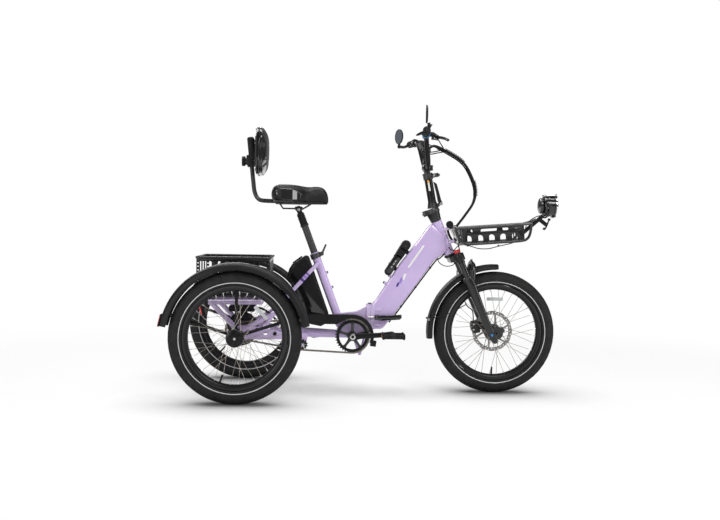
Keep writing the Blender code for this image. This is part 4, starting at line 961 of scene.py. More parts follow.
# Battery: raised side panels, a top cap, a lock and a charge port
pack = Piece("battery_panels", GLOSS, RUBBER)
side_panel = [(0.216, 0.524), (0.228, 0.548), (0.272, 0.58), (0.283, 0.574), (0.366, 0.344), (0.369, 0.322),
              (0.344, 0.3), (0.306, 0.306), (0.208, 0.498)]
for side in (-1, 1):
    pack.plate([[(x + REAR_AXLE.x, z) for x, z in side_panel]], side * 0.0402, 0.0018, 0.0006)
    pack.bolt(at(0.262, 0.552, side * 0.0408), (0, side, 0), 0.005, 0.0022, 1)
pack.turn([(0.0095, 0), (0.0095, 0.003), (0.006, 0.004), (0.001, 0.0042)], at(0.35, 0.33, -0.0405), (0, -1, 0), 28, 1)
pack.block(at(0.24, 0.574), (0.05, 0.03, 0.006), -37, 0.0025, 1)
pack.done("battery", "black_plastic")

# Frame dressing: dashes and a pin stripe, bolts, hinge caps and the cable under the beam
beam_run = (at(0.826, 0.674) - at(0.698, 0.487)).normalized()
beam_tilt = slope(beam_run)
MARK_Y = 0.0316
marks = Piece("beam_dashes", INDIGO, VIOLET, LABEL)
for side in (-1, 1):
    for k, (x, z, wide, tall) in enumerate(((0.671, 0.464, 0.0085, 0.018), (0.683, 0.4785, 0.0095, 0.024),
                                            (0.6955, 0.4935, 0.011, 0.027))):
        run = Vector((tall * 0.36, 0, tall))
        corner = at(x, z)
        slash = [corner, corner + Vector((wide, 0, 0)), corner + Vector((wide, 0, 0)) + run, corner + run]
        marks.plate([side_view(slash)], side * MARK_Y, 0.0014, 0.0003, k)
    marks.block(at(0.758, 0.598, side * MARK_Y) - beam_run * 0.002, (0.118, 0.0014, 0.0085), beam_tilt, 0.0003, 2)
marks.done("front", "lavender")
stay_marks = Piece("stay_dashes", INDIGO, VIOLET)
for side in (-1, 1):
    low, high = at(0.225, 0.446, side * 0.058), at(0.3, 0.53, side * 0.0535)
    for k, (a, b) in enumerate(((0.46, 0.56), (0.62, 0.72), (0.78, 0.84))):
        stay_marks.tube([low.lerp(high, a), low.lerp(high, b)], 0.00945, 20, k % 2)
stay_marks.done("frame", "lavender")

bolts = Piece("seat_tube_bolts", ALLOY, LAVENDER)
for along in (-0.1, -0.168):
    bolts.tube([on_seat(0.016, 0, along), on_seat(0.0225, 0, along)], 0.0075, 16, 1)
    bolts.bolt(on_seat(0.0225, 0, along), on_seat(1, 0, 0) - on_seat(0, 0, 0), 0.005, 0.005)
for x, z in ((0.04, 0.268), (0.075, 0.278), (0.15, 0.262)):
    for side in (-1, 1):
        bolts.bolt(at(x, z, side * 0.119), (0, side, 0), 0.008, 0.0045)
for z in (0.2625, 0.3815):
    bolts.turn([(0.0092, 0), (0.0092, 0.003), (0.007, 0.0045), (0.001, 0.0046)], at(0.562, z, 0.045),
               (0, 0, 1 if z > 0.3 else -1), 24)
bolts.done("frame", "black_alloy")

beam_bolt = Piece("beam_bolts", ALLOY, LAVENDER)
outward = Vector((-beam_run.z, 0, beam_run.x))
for spot in (at(0.629, 0.474), at(0.651, 0.505)):
    beam_bolt.tube([spot, spot + outward * 0.01], 0.007, 16, 1)
    beam_bolt.bolt(spot + outward * 0.01, outward, 0.0048, 0.0048)
for side in (-1, 1):
    for z in (0.296, 0.362):
        beam_bolt.block(at(0.5905, z, side * 0.033), (0.034, 0.004, 0.012), 0, 0.0018, 1)
beam_bolt.done("front", "black_alloy")

UNDER_Y = -0.012
under = Piece("beam_cable", RUBBER, PLASTIC)
offset = Vector((beam_run.z, 0, -beam_run.x)) * 0.0052
line = [at(0.88, 0.612, UNDER_Y), at(0.858, 0.592, UNDER_Y), at(0.838, 0.577, UNDER_Y), at(0.758, 0.468, UNDER_Y),
        at(0.673, 0.351, UNDER_Y), at(0.64, 0.308, UNDER_Y)]
under.tube(smooth([point + offset for point in line], 8), 0.003, 10)
under.tube(smooth([point + offset + aside(0.007) for point in line], 8), 0.0025, 10)
for share in (0.12, 0.5, 0.88):
    spot = line[2].lerp(line[4], share) + offset * 0.8 + aside(0.0035)
    under.block(spot, (0.007, 0.02, 0.009), beam_tilt, 0.0018, 1)
under.done("front", "rubber")

draw = Piece("frame_latch_rod", BRUSHED)
draw.tube([at(0.552, 0.33, -0.0445), at(0.5755, 0.33, -0.0455)], 0.0042, 14)
draw.done("front", "steel")
latch = Piece("frame_latch_handle", GLOSS)
handle = [at(0.586, 0.319), at(0.612, 0.3155), at(0.69, 0.321), at(0.6945, 0.329), at(0.691, 0.34), at(0.612, 0.339),
          at(0.586, 0.336)]
latch.plate([side_view(handle)], -0.0512, 0.0125, 0.0045)
latch.done("frame_latch", "black_metal")

# Fork: cast lowers with an arch and a caliper, crown caps and axle nuts
LEG_FORWARD, LEG_SIDE = 0.0276, 0.06
CALIPER_TILT = -12
axle_along = (FRONT_AXLE - HEAD).dot(HEAD_UP)
fork = Piece("fork_lowers_cast", BLACK_PAINT, ALLOY, BRUSHED)
stations = ((-0.202, 0.028, 0.0188, 0.0186), (-0.21, 0.0285, 0.0215, 0.0196), (-0.24, 0.03, 0.0225, 0.0192),
            (-0.29, 0.03, 0.0196, 0.0178), (-0.37, 0.03, 0.0172, 0.0162), (-0.43, 0.0315, 0.0168, 0.0138),
            (-0.464, 0.0335, 0.017, 0.01), (-0.49, 0.0355, 0.016, 0.0078), (-0.506, 0.037, 0.0125, 0.007),
            (-0.512, 0.0375, 0.006, 0.006))
for side in (-1, 1):
    y = side * LEG_SIDE
    loops = []
    for along, forward, deep, wide in stations:
        loops.append([on_head(forward + deep * bent(cos(a), 0.8), y + wide * bent(sin(a), 0.8), along)
                      for a in turns(28)])
    fork.loft(loops)
    fork.turn([(0.0185, 0), (0.0195, 0.001), (0.0195, 0.008), (0.0165, 0.0105), (0.0146, 0.0105)],
              on_head(LEG_FORWARD, y, -0.205), HEAD_UP, 32, 0)
    hub = FRONT_AXLE + Vector((0.002, y, 0))
    fork.turn(even((0.001, 0.0055), (0.0255, 0.0055), (0.0275, 0.0035)), hub, (0, 1, 0), 40)
    fork.block(hub + Vector((0.018, 0, 0.012)), (0.03, 0.01, 0.026), -30, 0.0045)
    fork.turn([(0.012, 0), (0.012, 0.0045), (0.007, 0.0058), (0.001, 0.006)], FRONT_AXLE + aside(side * 0.065),
              (0, side, 0), 6, 1)
    fork.block(on_head(0.05, side * 0.056, -0.198), (0.03, 0.016, 0.052), 5, 0.006)
arch = [on_head(0.052, -0.058, -0.205), on_head(0.066, -0.054, -0.178), on_head(0.074, -0.04, -0.16),
        on_head(0.077, 0, -0.152), on_head(0.074, 0.04, -0.16), on_head(0.066, 0.054, -0.178),
        on_head(0.052, 0.058, -0.205)]
fork.tube(smooth(arch, 6), 0.0125, 16, squash=0.75)
fork.tube([on_head(0.077, 0, -0.152), on_head(0.064, 0, -0.16)], 0.0075, 14)
fork.bolt(on_head(0.079, -0.004, -0.144), HEAD_UP, 0.0065, 0.009, 2)
caliper = FRONT_AXLE + Vector((-0.076, 0, 0.018))
for y in (0.0255, 0.049):
    fork.block(Vector((caliper.x, y, caliper.z)), (0.034, 0.0125 if y > 0.04 else 0.015, 0.056), CALIPER_TILT, 0.005,
               1)
    fork.block(Vector((caliper.x - 0.006, y, caliper.z)), (0.03, 0.01, 0.034), CALIPER_TILT, 0.004)
fork.block(Vector((caliper.x + 0.028, 0.054, caliper.z + 0.004)), (0.052, 0.012, 0.034), CALIPER_TILT, 0.003)
for z in (-0.02, 0.02):
    fork.bolt(Vector((caliper.x, 0.0555, caliper.z + z)), (0, 1, 0), 0.0044, 0.0035, 2)
    fork.bolt(Vector((caliper.x - 0.01, 0.0178, caliper.z + z * 0.6)), (0, -1, 0), 0.004, 0.0025, 2)
fork.done("fork", "black_metal", "fork_lowers")

slides = Piece("fork_stanchions", GLOSS)
for side in (-1, 1):
    slides.tube([on_head(LEG_FORWARD, side * LEG_SIDE, -0.11), on_head(LEG_FORWARD, side * LEG_SIDE, -0.3)], 0.0142,
                32)
slides.done("steering", "black_metal")
caps = Piece("fork_crown_caps", ALLOY, RED_KNOB, GLOSS)
caps.turn([(0.0145, 0), (0.0145, 0.004), (0.013, 0.0055), (0.0128, 0.011), (0.01, 0.0125), (0.001, 0.0126)],
          on_head(LEG_FORWARD, -LEG_SIDE, -0.0805), HEAD_UP, 24, 1)
caps.turn([(0.0145, 0), (0.0145, 0.003), (0.0125, 0.005), (0.001, 0.0052)], on_head(LEG_FORWARD, LEG_SIDE, -0.0805),
          HEAD_UP, 24)
for side in (-1, 1):
    caps.turn([(0.0215, 0), (0.0225, 0.004), (0.0225, 0.028), (0.0205, 0.032), (0.015, 0.033)],
              on_head(LEG_FORWARD, side * LEG_SIDE, -0.1185), HEAD_UP, 32)
    caps.turn([(0.015, 0), (0.0172, 0.002), (0.0172, 0.006), (0.015, 0.008)],
              on_head(LEG_FORWARD, side * LEG_SIDE, -0.13), HEAD_UP, 32, 2)
caps.turn([(0.017, 0), (0.0255, 0.001), (0.0262, 0.005), (0.0255, 0.009), (0.017, 0.01)], on_head(0, 0, -0.088),
          HEAD_UP, 40)
caps.done("steering", "black_metal")
dot = Piece("axle_dot", BLUE)
dot.turn([(0.0052, 0), (0.005, 0.0012), (0.001, 0.0014)], FRONT_AXLE + Vector((-0.02, -0.07, -0.008)), (0, -1, 0), 24)
dot.done("fork", "black_plastic")

# Stem dressing
trim = Piece("stem_trim", ALLOY, LABEL, ORANGE, BRUSHED)
for along in (0.006, 0.15):
    trim.turn([(0.0185, 0), (0.0225, 0.001), (0.0228, 0.006), (0.0185, 0.007)], on_stem(0, 0, along), STEM_UP, 40)
trim.bolt(on_stem(0.026, -0.008, 0.144), (0, -1, 0), 0.0055, 0.004, 3)
strip = [on_stem(-0.004, -0.0176, along) for along in (0.08, 0.116)]
trim.block((strip[0] + strip[1]) / 2, (0.0075, 0.0012, 0.036), STEM_TILT, 0.0004, 1)
trim.block(strip[1] + STEM_UP * 0.006, (0.0075, 0.0012, 0.01), STEM_TILT, 0.0004, 2)
trim.done("stem", "black_alloy")
lever = Piece("stem_latch_blade", ALLOY, BRUSHED)
profile = [on_stem(0.0205, 0, 0.118), on_stem(0.033, 0, 0.106), on_head(0.054, 0, 0.156), on_head(0.0555, 0, 0.14),
           on_head(0.05, 0, 0.134), on_head(0.042, 0, 0.137), on_head(0.0385, 0, 0.156), on_stem(0.0245, 0, 0.07)]
lever.plate([side_view(profile)], 0, 0.022, 0.0035)
lever.tube([on_head(0.047, -0.0125, 0.142), on_head(0.047, 0.0125, 0.142)], 0.0064, 20, 1)
lever.done("stem_latch", "black_alloy", "stem_latch_lever")
foot = Piece("stem_base_trim", ALLOY, BRUSHED)
for along, radius in ((0.079, 0.0242), (0.086, 0.0248)):
    foot.turn([(radius - 0.004, 0), (radius, 0.0008), (radius, 0.0052), (radius - 0.004, 0.006)],
              on_head(0, 0, along), HEAD_UP, 40)
foot.bolt(on_head(-0.0425, 0.0105, 0.125), (0, 1, 0), 0.0042, 0.003, 1)
foot.done("steering", "black_alloy")

# Handlebar and its controls
BAR_CLAMP = at(0.7985, 0.985)
HALF_BAR = ((0.0, 0.7985, 0.985), (0.05, 0.7985, 0.988), (0.085, 0.794, 1.015), (0.118, 0.784, 1.07),
            (0.15, 0.777, 1.1), (0.19, 0.77, 1.111), (0.26, 0.7635, 1.113), (0.33, 0.757, 1.115))
bar = Piece("handlebar_tube", ALLOY, BRUSHED)
bar.tube(smooth([at(x, z, -y) for y, x, z in reversed(HALF_BAR)] + [at(x, z, y) for y, x, z in HALF_BAR[1:]], 8),
         0.0109, 18)
bar.tube([on_stem(0, 0, 0.034), on_stem(0, 0, 0.176)], 0.0142, 28)
bar.turn(even((0.012, 0.026), (0.0175, 0.025), (0.0188, 0.02)), BAR_CLAMP, steps=36)
bar.block(BAR_CLAMP + Vector((0.019, 0, 0)), (0.014, 0.042, 0.024), 0, 0.003)
for y in (-0.015, 0.015):
    for z in (-0.008, 0.008):
        bar.bolt(BAR_CLAMP + Vector((0.0255, y, z)), (1, 0, 0), 0.003, 0.0026, 1)
bar.done("bar", "black_alloy", "handlebar")
BEND_Y, BAR_END_Y = 0.19, 0.33


def along_bar(side, y, forward=0.0, up=0.0):
    """A point measured from the bar's straight outer part."""
    share = (y - BEND_Y) / (BAR_END_Y - BEND_Y)
    return at(0.77 - 0.013 * share + forward, 1.111 + 0.004 * share + up, side * y)


for side, label in SIDES:
    outward = (along_bar(side, BAR_END_Y) - along_bar(side, BEND_Y)).normalized()
    grip = Piece(f"grip_ribbed_{label}", RUBBER, BLUE, PLASTIC)
    profile = [(0.0112, 0.0)]
    for k in range(26):
        swell = 0.0006 * sin(math.pi * k / 25)
        profile += [(0.0148 + swell, 0.0012 + 0.004 * k), (0.0156 + swell, 0.0022 + 0.004 * k),
                    (0.0156 + swell, 0.004 + 0.004 * k)]
    grip.turn([*profile, (0.015, 0.1058), (0.0112, 0.1062)], along_bar(side, 0.2142), outward, 28)
    grip.turn([(0.0116, 0), (0.0172, 0.0005), (0.0176, 0.003), (0.0172, 0.0055), (0.0116, 0.006)],
              along_bar(side, 0.211), outward, 28, 1)
    wing = []
    for k in range(9):
        y = 0.275 + 0.043 * k / 8
        swell = sin(math.pi * min(1.0, 0.15 + k / 8 * 0.85)) ** 0.5
        centre = along_bar(side, y, -0.02, -0.0075)
        wing.append([centre + Vector((cos(a) * 0.024 * swell, 0, sin(a) * 0.0062 * swell + cos(a) * 0.01 * swell))
                     for a in turns(20)])
    grip.loft(wing)
    grip.turn([(0.0112, 0), (0.0162, 0.001), (0.0162, 0.004), (0.012, 0.0058), (0.001, 0.006)],
              along_bar(side, 0.321), outward, 28, 2)
    grip.done("bar", "rubber", "grip_" + label)

    mount = Piece(f"brake_lever_body_{label}", ALLOY, BRUSHED, RUBBER)
    mount.turn(even((0.0113, 0.008), (0.0158, 0.0078), (0.0166, 0.006)), along_bar(side, 0.193), outward, 32)
    mount.tube(smooth([along_bar(side, 0.186, 0.012, 0.002), along_bar(side, 0.184, 0.03, 0.002),
                       along_bar(side, 0.172, 0.04, -0.001)], 5), [0.0105] * 6 + [0.0088] * 5, 16)
    mount.block(along_bar(side, 0.187, 0.04, -0.0015), (0.026, 0.023, 0.005), 8, 0.002)
    mount.block(along_bar(side, 0.187, 0.041, -0.0195), (0.024, 0.021, 0.004), 8, 0.0018)
    mount.block(along_bar(side, 0.182, 0.03, -0.01), (0.01, 0.018, 0.02), 8, 0.002)
    mount.bolt(along_bar(side, 0.186, 0.046, 0.0005), (0, 0, 1), 0.0042, 0.002, 1)
    mount.bolt(along_bar(side, 0.193, -0.0155, 0.0), (-1, 0, 0), 0.0035, 0.0025, 1)
    mount.tube(smooth([along_bar(side, 0.173, 0.04, -0.001), along_bar(side, 0.16, 0.043, -0.004)], 3),
               [0.0062, 0.0058, 0.005, 0.0042], 12, 2)
    mount.done("bar", "black_alloy", "brake_mount_" + label)

    blade = Piece(f"brake_blade_{label}", ALLOY)
    route = smooth([along_bar(side, 0.186, 0.046, -0.01), along_bar(side, 0.206, 0.059, -0.013),
                    along_bar(side, 0.235, 0.071, -0.019), along_bar(side, 0.27, 0.083, -0.028),
                    along_bar(side, 0.296, 0.089, -0.035)], 5)
    radii = [0.0074 - 0.002 * k / len(route) for k in range(len(route) - 3)] + [0.0056, 0.0066, 0.006]
    blade.tube(route, radii, 14, squash=0.8)
    blade.turn(even((0.0085, 0.005), (0.009, 0.004)), route[0], (0, 0, 1), 24)
    blade.done(f"{label}_brake", "black_alloy", "brake_lever_" + label)

DISPLAY_CLAMP = at(0.7985, 1.004)
DISPLAY_LEAN = 35
display = Piece("display_unit", PLASTIC, SCREEN, RUBBER, ALLOY)
screen_at = at(0.783, 1.078)
display.block(screen_at, (0.012, 0.062, 0.044), -DISPLAY_LEAN, 0.0035)
back = Vector((-cos(radians(DISPLAY_LEAN)), 0, sin(radians(DISPLAY_LEAN))))
display.block(screen_at + back * 0.0058, (0.0016, 0.05, 0.033), -DISPLAY_LEAN, 0.0006, 1)
display.tube(smooth([DISPLAY_CLAMP, at(0.796, 1.025), at(0.79, 1.05), at(0.786, 1.07)], 5), 0.0062, 14, 3)
display.turn(even((0.011, 0.007), (0.015, 0.006)), DISPLAY_CLAMP, (0, 1, 0), 24, 3)
for y in (-0.012, 0.0, 0.012):
    display.bolt(screen_at + Vector((-0.001, y, -0.0225)), (-0.8, 0, -0.3), 0.0035, 0.0016, 2)
display.done("bar", "black_plastic", "display")

bell = Piece("bar_bell", PLASTIC, ALLOY)
bell.turn(even((0.0113, 0.006), (0.015, 0.005)), along_bar(-1, 0.166, 0.001, -0.003), (0, 1, 0), 24)
bell.turn([(0.013, 0), (0.0145, 0.004), (0.012, 0.0115), (0.006, 0.0145), (0.001, 0.015)],
          along_bar(-1, 0.166, 0.003, 0.011), (0.15, 0, 1), 28)
bell.tube(smooth([along_bar(-1, 0.176, 0.004, 0.02), along_bar(-1, 0.186, 0.014, 0.034),
                  along_bar(-1, 0.188, 0.026, 0.043)], 5), 0.003, 10, 1)
bell.done("bar", "black_plastic")

pivot = joint_place("throttle")
thumb = Piece("thumb_throttle", PLASTIC, GLOSS)
thumb.turn(even((0.0128, 0.0026), (0.0186, 0.0024), (0.0192, 0.0)), pivot, steps=32, closed=True)
thumb.tube(smooth([pivot + Vector((-0.015, 0, -0.009)), pivot + Vector((-0.023, 0, -0.017)),
                   pivot + Vector((-0.03, 0, -0.021))], 5), 0.0034, 12, 1)
thumb.done("throttle", "black_plastic", "throttle_lever")

for side, label, arm_end, degrees in ((-1, "right", at(0.76, 1.125, -0.382), 83),
                                      (1, "left", at(0.712, 1.11, 0.386), 65)):
    socket = joint_place(label + "_mirror")
    mirror = Piece(f"round_mirror_{label}", PLASTIC, GLASS, RUBBER)
    mirror.turn([(0.01, 0), (0.0122, 0.001), (0.0122, 0.0095), (0.01, 0.0115), (0.001, 0.0118)], socket, (0, side, 0),
                28, 2)
    bend = (socket + arm_end) / 2 + Vector((0, 0, -0.006))
    mirror.tube(smooth([socket + aside(side * 0.006), bend, arm_end], 6), 0.0066, 16)
    centre = arm_end + Vector((-0.01 if side < 0 else 0.0, 0, 0.0475))
    facing = Vector((-sin(radians(degrees)), -cos(radians(degrees)) * side, 0))
    mirror.turn([(0.01, -0.005), (0.028, -0.0042), (0.035, -0.002), (0.036, 0.001), (0.036, 0.0036), (0.0342, 0.0045),
                 (0.0335, 0.003)], centre, facing, 48)
    mirror.turn([(0.0336, 0.002), (0.0336, 0.0031), (0.02, 0.0037), (0.001, 0.004)], centre, facing, 48, 1)
    mirror.tube([arm_end, arm_end.lerp(centre, 0.28)], [0.0072, 0.006], 16)
    mirror.turn(even((0.001, 0.009), (0.0062, 0.0066), (0.009, 0.0)), arm_end, (0, 0, 1), 24, 2)
    mirror.done(f"{label}_mirror", "black_plastic", "mirror_" + label)

# Tail light, motor and controller dressing
tail = Piece("tail_light_lens", RED, PLASTIC, CLEAR)
tail.block(at(-0.1655, 0.352), (0.013, 0.088, 0.053), -15, 0.004, 1)
for k, y in enumerate((-0.03, 0.0, 0.03)):
    tail.block(at(-0.1735, 0.353, y), (0.0062, 0.027, 0.045), -15, 0.003, 2 if k == 1 else 0)
tail.block(at(-0.15, 0.3715), (0.04, 0.028, 0.005), -40, 0.0015, 1)
tail.done("frame", "red_lens", "tail_light")

motor = Piece("motor_fins", ALLOY, BRUSHED)
for k in range(5):
    motor.turn(even((0.0675, 0.0012), (0.07, 0.0008)), Vector((REAR_AXLE.x, -0.022 + 0.022 * k, AXLE_Z)), steps=72,
               closed=True)
for turn in turns(8):
    motor.bolt(Vector((REAR_AXLE.x + 0.056 * cos(turn), -0.0398, AXLE_Z + 0.056 * sin(turn))), (0, -1, 0), 0.0036,
               0.0026, 1)
motor.done("frame", "black_alloy")
box_trim = Piece("controller_ribs", PLASTIC, RUBBER)
for k in range(6):
    box_trim.block(at(-0.03 + 0.014 * k, 0.3765), (0.004, 0.11, 0.003), 0, 0.001)
for y in (-0.02, 0.0, 0.02):
    box_trim.tube(smooth([at(0.058, 0.362, y), at(0.092, 0.356, y * 0.8), at(0.13, 0.33, y * 0.6),
                          at(0.168, 0.29, y * 0.5)], 6), 0.0034, 10, 1)
box_trim.done("frame", "black_plastic")


# Saddle and backrest, blown up from a slightly smaller shape as cloth
def settled(piece):
    """The mesh of a piece with its modifiers applied, which are then dropped."""
    found = bpy.data.meshes.new_from_object(piece.evaluated_get(bpy.context.evaluated_depsgraph_get()))
    old = piece.data
    piece.modifiers.clear()
    piece.data = found
    bpy.data.meshes.remove(old)
    return piece


AIR_PRESSURE = 4.0
CLOTH_FRAMES = 20
SMOOTH_PASSES = 6


def inflate(name, loops, voxel, cap, rests):
    """A closed cushion through the loops, swollen by air pressure by at most the cap, and still where it rests.

    With a voxel size the mesh is made even by a remesh first, and without one by a subdivision.
    """
    shape = Piece(name)
    shape.loft(loops)
    bmesh.ops.recalc_face_normals(shape.mesh, faces=shape.mesh.faces)
    data = bpy.data.meshes.new(name)
    shape.mesh.to_mesh(data)
    shape.mesh.free()
    piece = shown(name, data)
    if voxel:
        remesh = piece.modifiers.new("remesh", "REMESH")
        remesh.mode = "VOXEL"
        remesh.voxel_size = voxel
    else:
        piece.modifiers.new("even", "SUBSURF").levels = 1
    settled(piece)
    before = [vert.co.copy() for vert in piece.data.vertices]
    still = piece.vertex_groups.new(name="still")
    still.add([k for k, co in enumerate(before) if rests(co)], 1.0, "REPLACE")
    cloth = piece.modifiers.new("cloth", "CLOTH")
    cloth.settings.vertex_group_mass = "still"
    cloth.settings.use_pressure = True
    cloth.settings.uniform_pressure_force = AIR_PRESSURE
    cloth.settings.effector_weights.gravity = 0.0
    for frame_number in range(1, CLOTH_FRAMES + 1):
        bpy.context.scene.frame_set(frame_number)
    settled(piece)
    bpy.context.scene.frame_set(1)
    for vert, start in zip(piece.data.vertices, before):
        moved = vert.co - start
        if moved.length > cap:
            vert.co = start + moved * (cap / moved.length)
    piece.vertex_groups.clear()
    shape = bmesh.new()
    shape.from_mesh(piece.data)
    for _ in range(SMOOTH_PASSES):
        bmesh.ops.smooth_vert(shape, verts=shape.verts, factor=0.5, use_axis_x=True, use_axis_y=True, use_axis_z=True)
    shape.to_mesh(piece.data)
    shape.free()
    piece.modifiers.new("finer", "SUBSURF").levels = 1
    return settled(piece)


def press(piece, depth):
    """Moves each point inwards by the depth that the function gives for its place and its normal."""
    data = piece.data
    moves = [depth(vert.co, vert.normal) for vert in data.vertices]
    normals = [vert.normal.copy() for vert in data.vertices]
    for vert, normal, move in zip(data.vertices, normals, moves):
        vert.co -= normal * move


def upholster(piece, looks, choose, body, slot, *nodes):
    """Covers a cushion with the looks, which the function chooses from by a face's place and normal."""
    data = piece.data
    data.materials.clear()
    for found in looks:
        data.materials.append(found)
    for face in data.polygons:
        face.material_index = choose(face.center, face.normal)
    data.shade_smooth()
    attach(piece, body)
    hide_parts(*nodes)


def surface_of(piece):
    """A tree for finding points on a piece's skin."""
    data = piece.data
    return BVHTree.FromPolygons([vert.co for vert in data.vertices], [face.vertices for face in data.polygons])


def bump(value, middle, width):
    """A soft hump, 1 at its middle."""
    return math.exp(-(((value - middle) / width) ** 2))


# Stations along the saddle: x, half width, top, bottom
SADDLE = ((0.1285, 0.082, 0.88, 0.833), (0.1305, 0.102, 0.8915, 0.825), (0.136, 0.114, 0.896, 0.82),
          (0.15, 0.123, 0.8975, 0.8185), (0.172, 0.128, 0.897, 0.818), (0.194, 0.1255, 0.8965, 0.818),
          (0.216, 0.116, 0.8955, 0.818), (0.236, 0.1, 0.8935, 0.818), (0.254, 0.08, 0.891, 0.818),
          (0.27, 0.0625, 0.8885, 0.818), (0.286, 0.05, 0.887, 0.818), (0.304, 0.043, 0.889, 0.818),
          (0.322, 0.039, 0.8925, 0.818), (0.34, 0.036, 0.891, 0.818), (0.355, 0.033, 0.882, 0.8185),
          (0.365, 0.028, 0.866, 0.819), (0.3705, 0.02, 0.846, 0.8205))
loops = []
for x, half, top, bottom in SADDLE:
    low = bottom + (top - bottom) * 0.42
    ring = []
    for a in turns(40):
        c, s = cos(a), sin(a)
        power = 0.66 if s > 0 else 0.45
        height = top - low if s > 0 else low - bottom
        ring.append(at(x, low + height * bent(s, power), half * bent(c, 0.8)))
    loops.append(ring)
saddle = inflate("saddle_cover", loops, 0.0048, 0.004, lambda co: co.z < 0.8215)
PANEL_X, PANEL_HALF = 0.2, 0.06
PANEL_POWER = 2.6


def panel_share(x):
    """How far along the side panel a point stands, from 0 at the back."""
    return max(0.0, (x - 0.15) / 0.11)


def saddle_panel(x, z):
    """Below 1 inside the glossy panel let into each side."""
    share = panel_share(x)
    middle = 0.856 - 0.006 * share
    height = 0.027 - 0.0085 * min(1.0, share) ** 2
    return (abs(x - PANEL_X) / PANEL_HALF) ** PANEL_POWER + (abs(z - middle) / height) ** PANEL_POWER


def saddle_press(co, normal):
    """The groove down the middle and two sewn lines on each side of it."""
    x = co.x - REAR_AXLE.x
    depth = 0.0055 * bump(co.y, 0, 0.016) * bump(x, 0.185, 0.055) * max(0.0, normal.z)
    for line in (0.05, 0.094):
        depth += 0.0014 * bump(abs(co.y), line - 0.2 * max(0, x - 0.19), 0.0035) * max(0.0, normal.z) * (x < 0.27)
    return depth


def saddle_look(co, normal):
    """1, the glossy vinyl, on the side panels and 0 elsewhere."""
    return int(saddle_panel(co.x - REAR_AXLE.x, co.z) < 1 and abs(co.y) > 0.03 and normal.z < 0.9)


for vert in saddle.data.vertices:
    x = vert.co.x - REAR_AXLE.x
    inside = max(0.0, 1 - saddle_panel(x, vert.co.z))
    if inside and abs(vert.co.y) > 0.03 and abs(vert.normal.z) < 0.92:
        half = next(a[1] + (b[1] - a[1]) * (x - a[0]) / (b[0] - a[0]) for a, b in zip(SADDLE, SADDLE[1:])
                    if x <= b[0])
        flat_wall = math.copysign(half * 0.965 - 0.0035, vert.co.y)
        vert.co.y += (flat_wall - vert.co.y) * min(1.0, inside * 3.0)
press(saddle, saddle_press)
upholster(saddle, (HIDE, PATENT), saddle_look, "seat", "leather", "saddle")
skin = surface_of(saddle)
piping = Piece("saddle_piping", HIDE, PLASTIC)
for side in (-1, 1):
    route = []
    for a in turns(56):
        c, s = cos(a), sin(a)
        x = PANEL_X + PANEL_HALF * bent(c, 2 / PANEL_POWER)
        share = min(1.0, panel_share(x))
        z = 0.856 - 0.006 * share + (0.027 - 0.0085 * share**2) * bent(s, 2 / PANEL_POWER)
        hit = skin.ray_cast(at(x, z, side * 0.2), aside(-side))
        if hit[0] is not None:
            route.append(hit[0] - hit[1] * 0.0002)
    piping.tube(relaxed(route, 3), 0.0017, 10, closed=True)
RIM = [(0.14, 0.094), (0.158, 0.117), (0.178, 0.124), (0.198, 0.1205), (0.218, 0.11), (0.238, 0.093), (0.256, 0.074),
       (0.274, 0.056), (0.292, 0.045), (0.312, 0.039), (0.334, 0.0345), (0.35, 0.028), (0.36, 0.018), (0.364, 0.0)]
rim = [at(x, 0.8195, y) for x, y in RIM]
edge = [Vector((point.x, -point.y, point.z)) for point in rim]
piping.tube(smooth([*rim, *edge[-2::-1]], 4), 0.003, 12, 1)
piping.done("seat", "leather")

# Backrest: a crowned pad in a shallow tray, with a piped edge
PAD = Vector((0.081 + REAR_AXLE.x, 0, 1.04))
lean = Matrix.Translation(PAD) @ Matrix.Rotation(radians(1), 4, "Y")


def pad_ring(depth, scale, z_scale=None):
    """A round-cornered outline at a depth in front of the pad's middle, pulled in a little between its corners."""
    half_y, half_z = 0.147 * scale, 0.105 * (z_scale or scale)
    points = []
    for a in turns(72):
        c, s = cos(a), sin(a)
        y, z = half_y * bent(c, 0.56), half_z * bent(s, 0.56)
        y *= 1 - 0.018 * bump(z, 0, 0.05)
        points.append(lean @ Vector((depth, y, z)))
    return points


stations = ((-0.017, 0.9), (-0.015, 0.965), (-0.008, 0.995), (0.0, 1.0), (0.006, 0.985, 0.975), (0.011, 0.955, 0.93),
            (0.015, 0.9, 0.85), (0.018, 0.8, 0.72), (0.02, 0.66, 0.56), (0.0212, 0.45, 0.37), (0.0218, 0.2, 0.16))
pad = inflate("backrest_cover", [pad_ring(*station) for station in stations], None, 0.006,
              lambda co: (lean.inverted() @ co).x < -0.012)


def pad_press(co, normal):
    """Two sewn channels across the pad and a hollow in its middle."""
    local = lean.inverted() @ co
    facing = max(0.0, normal.x)
    depth = 0.0016 * facing * sum(bump(local.z, line, 0.0042) for line in (-0.036, 0.036)) * bump(local.y, 0, 0.11)
    return depth + 0.0028 * facing * bump(local.y, 0, 0.03) * bump(local.z, 0, 0.055)


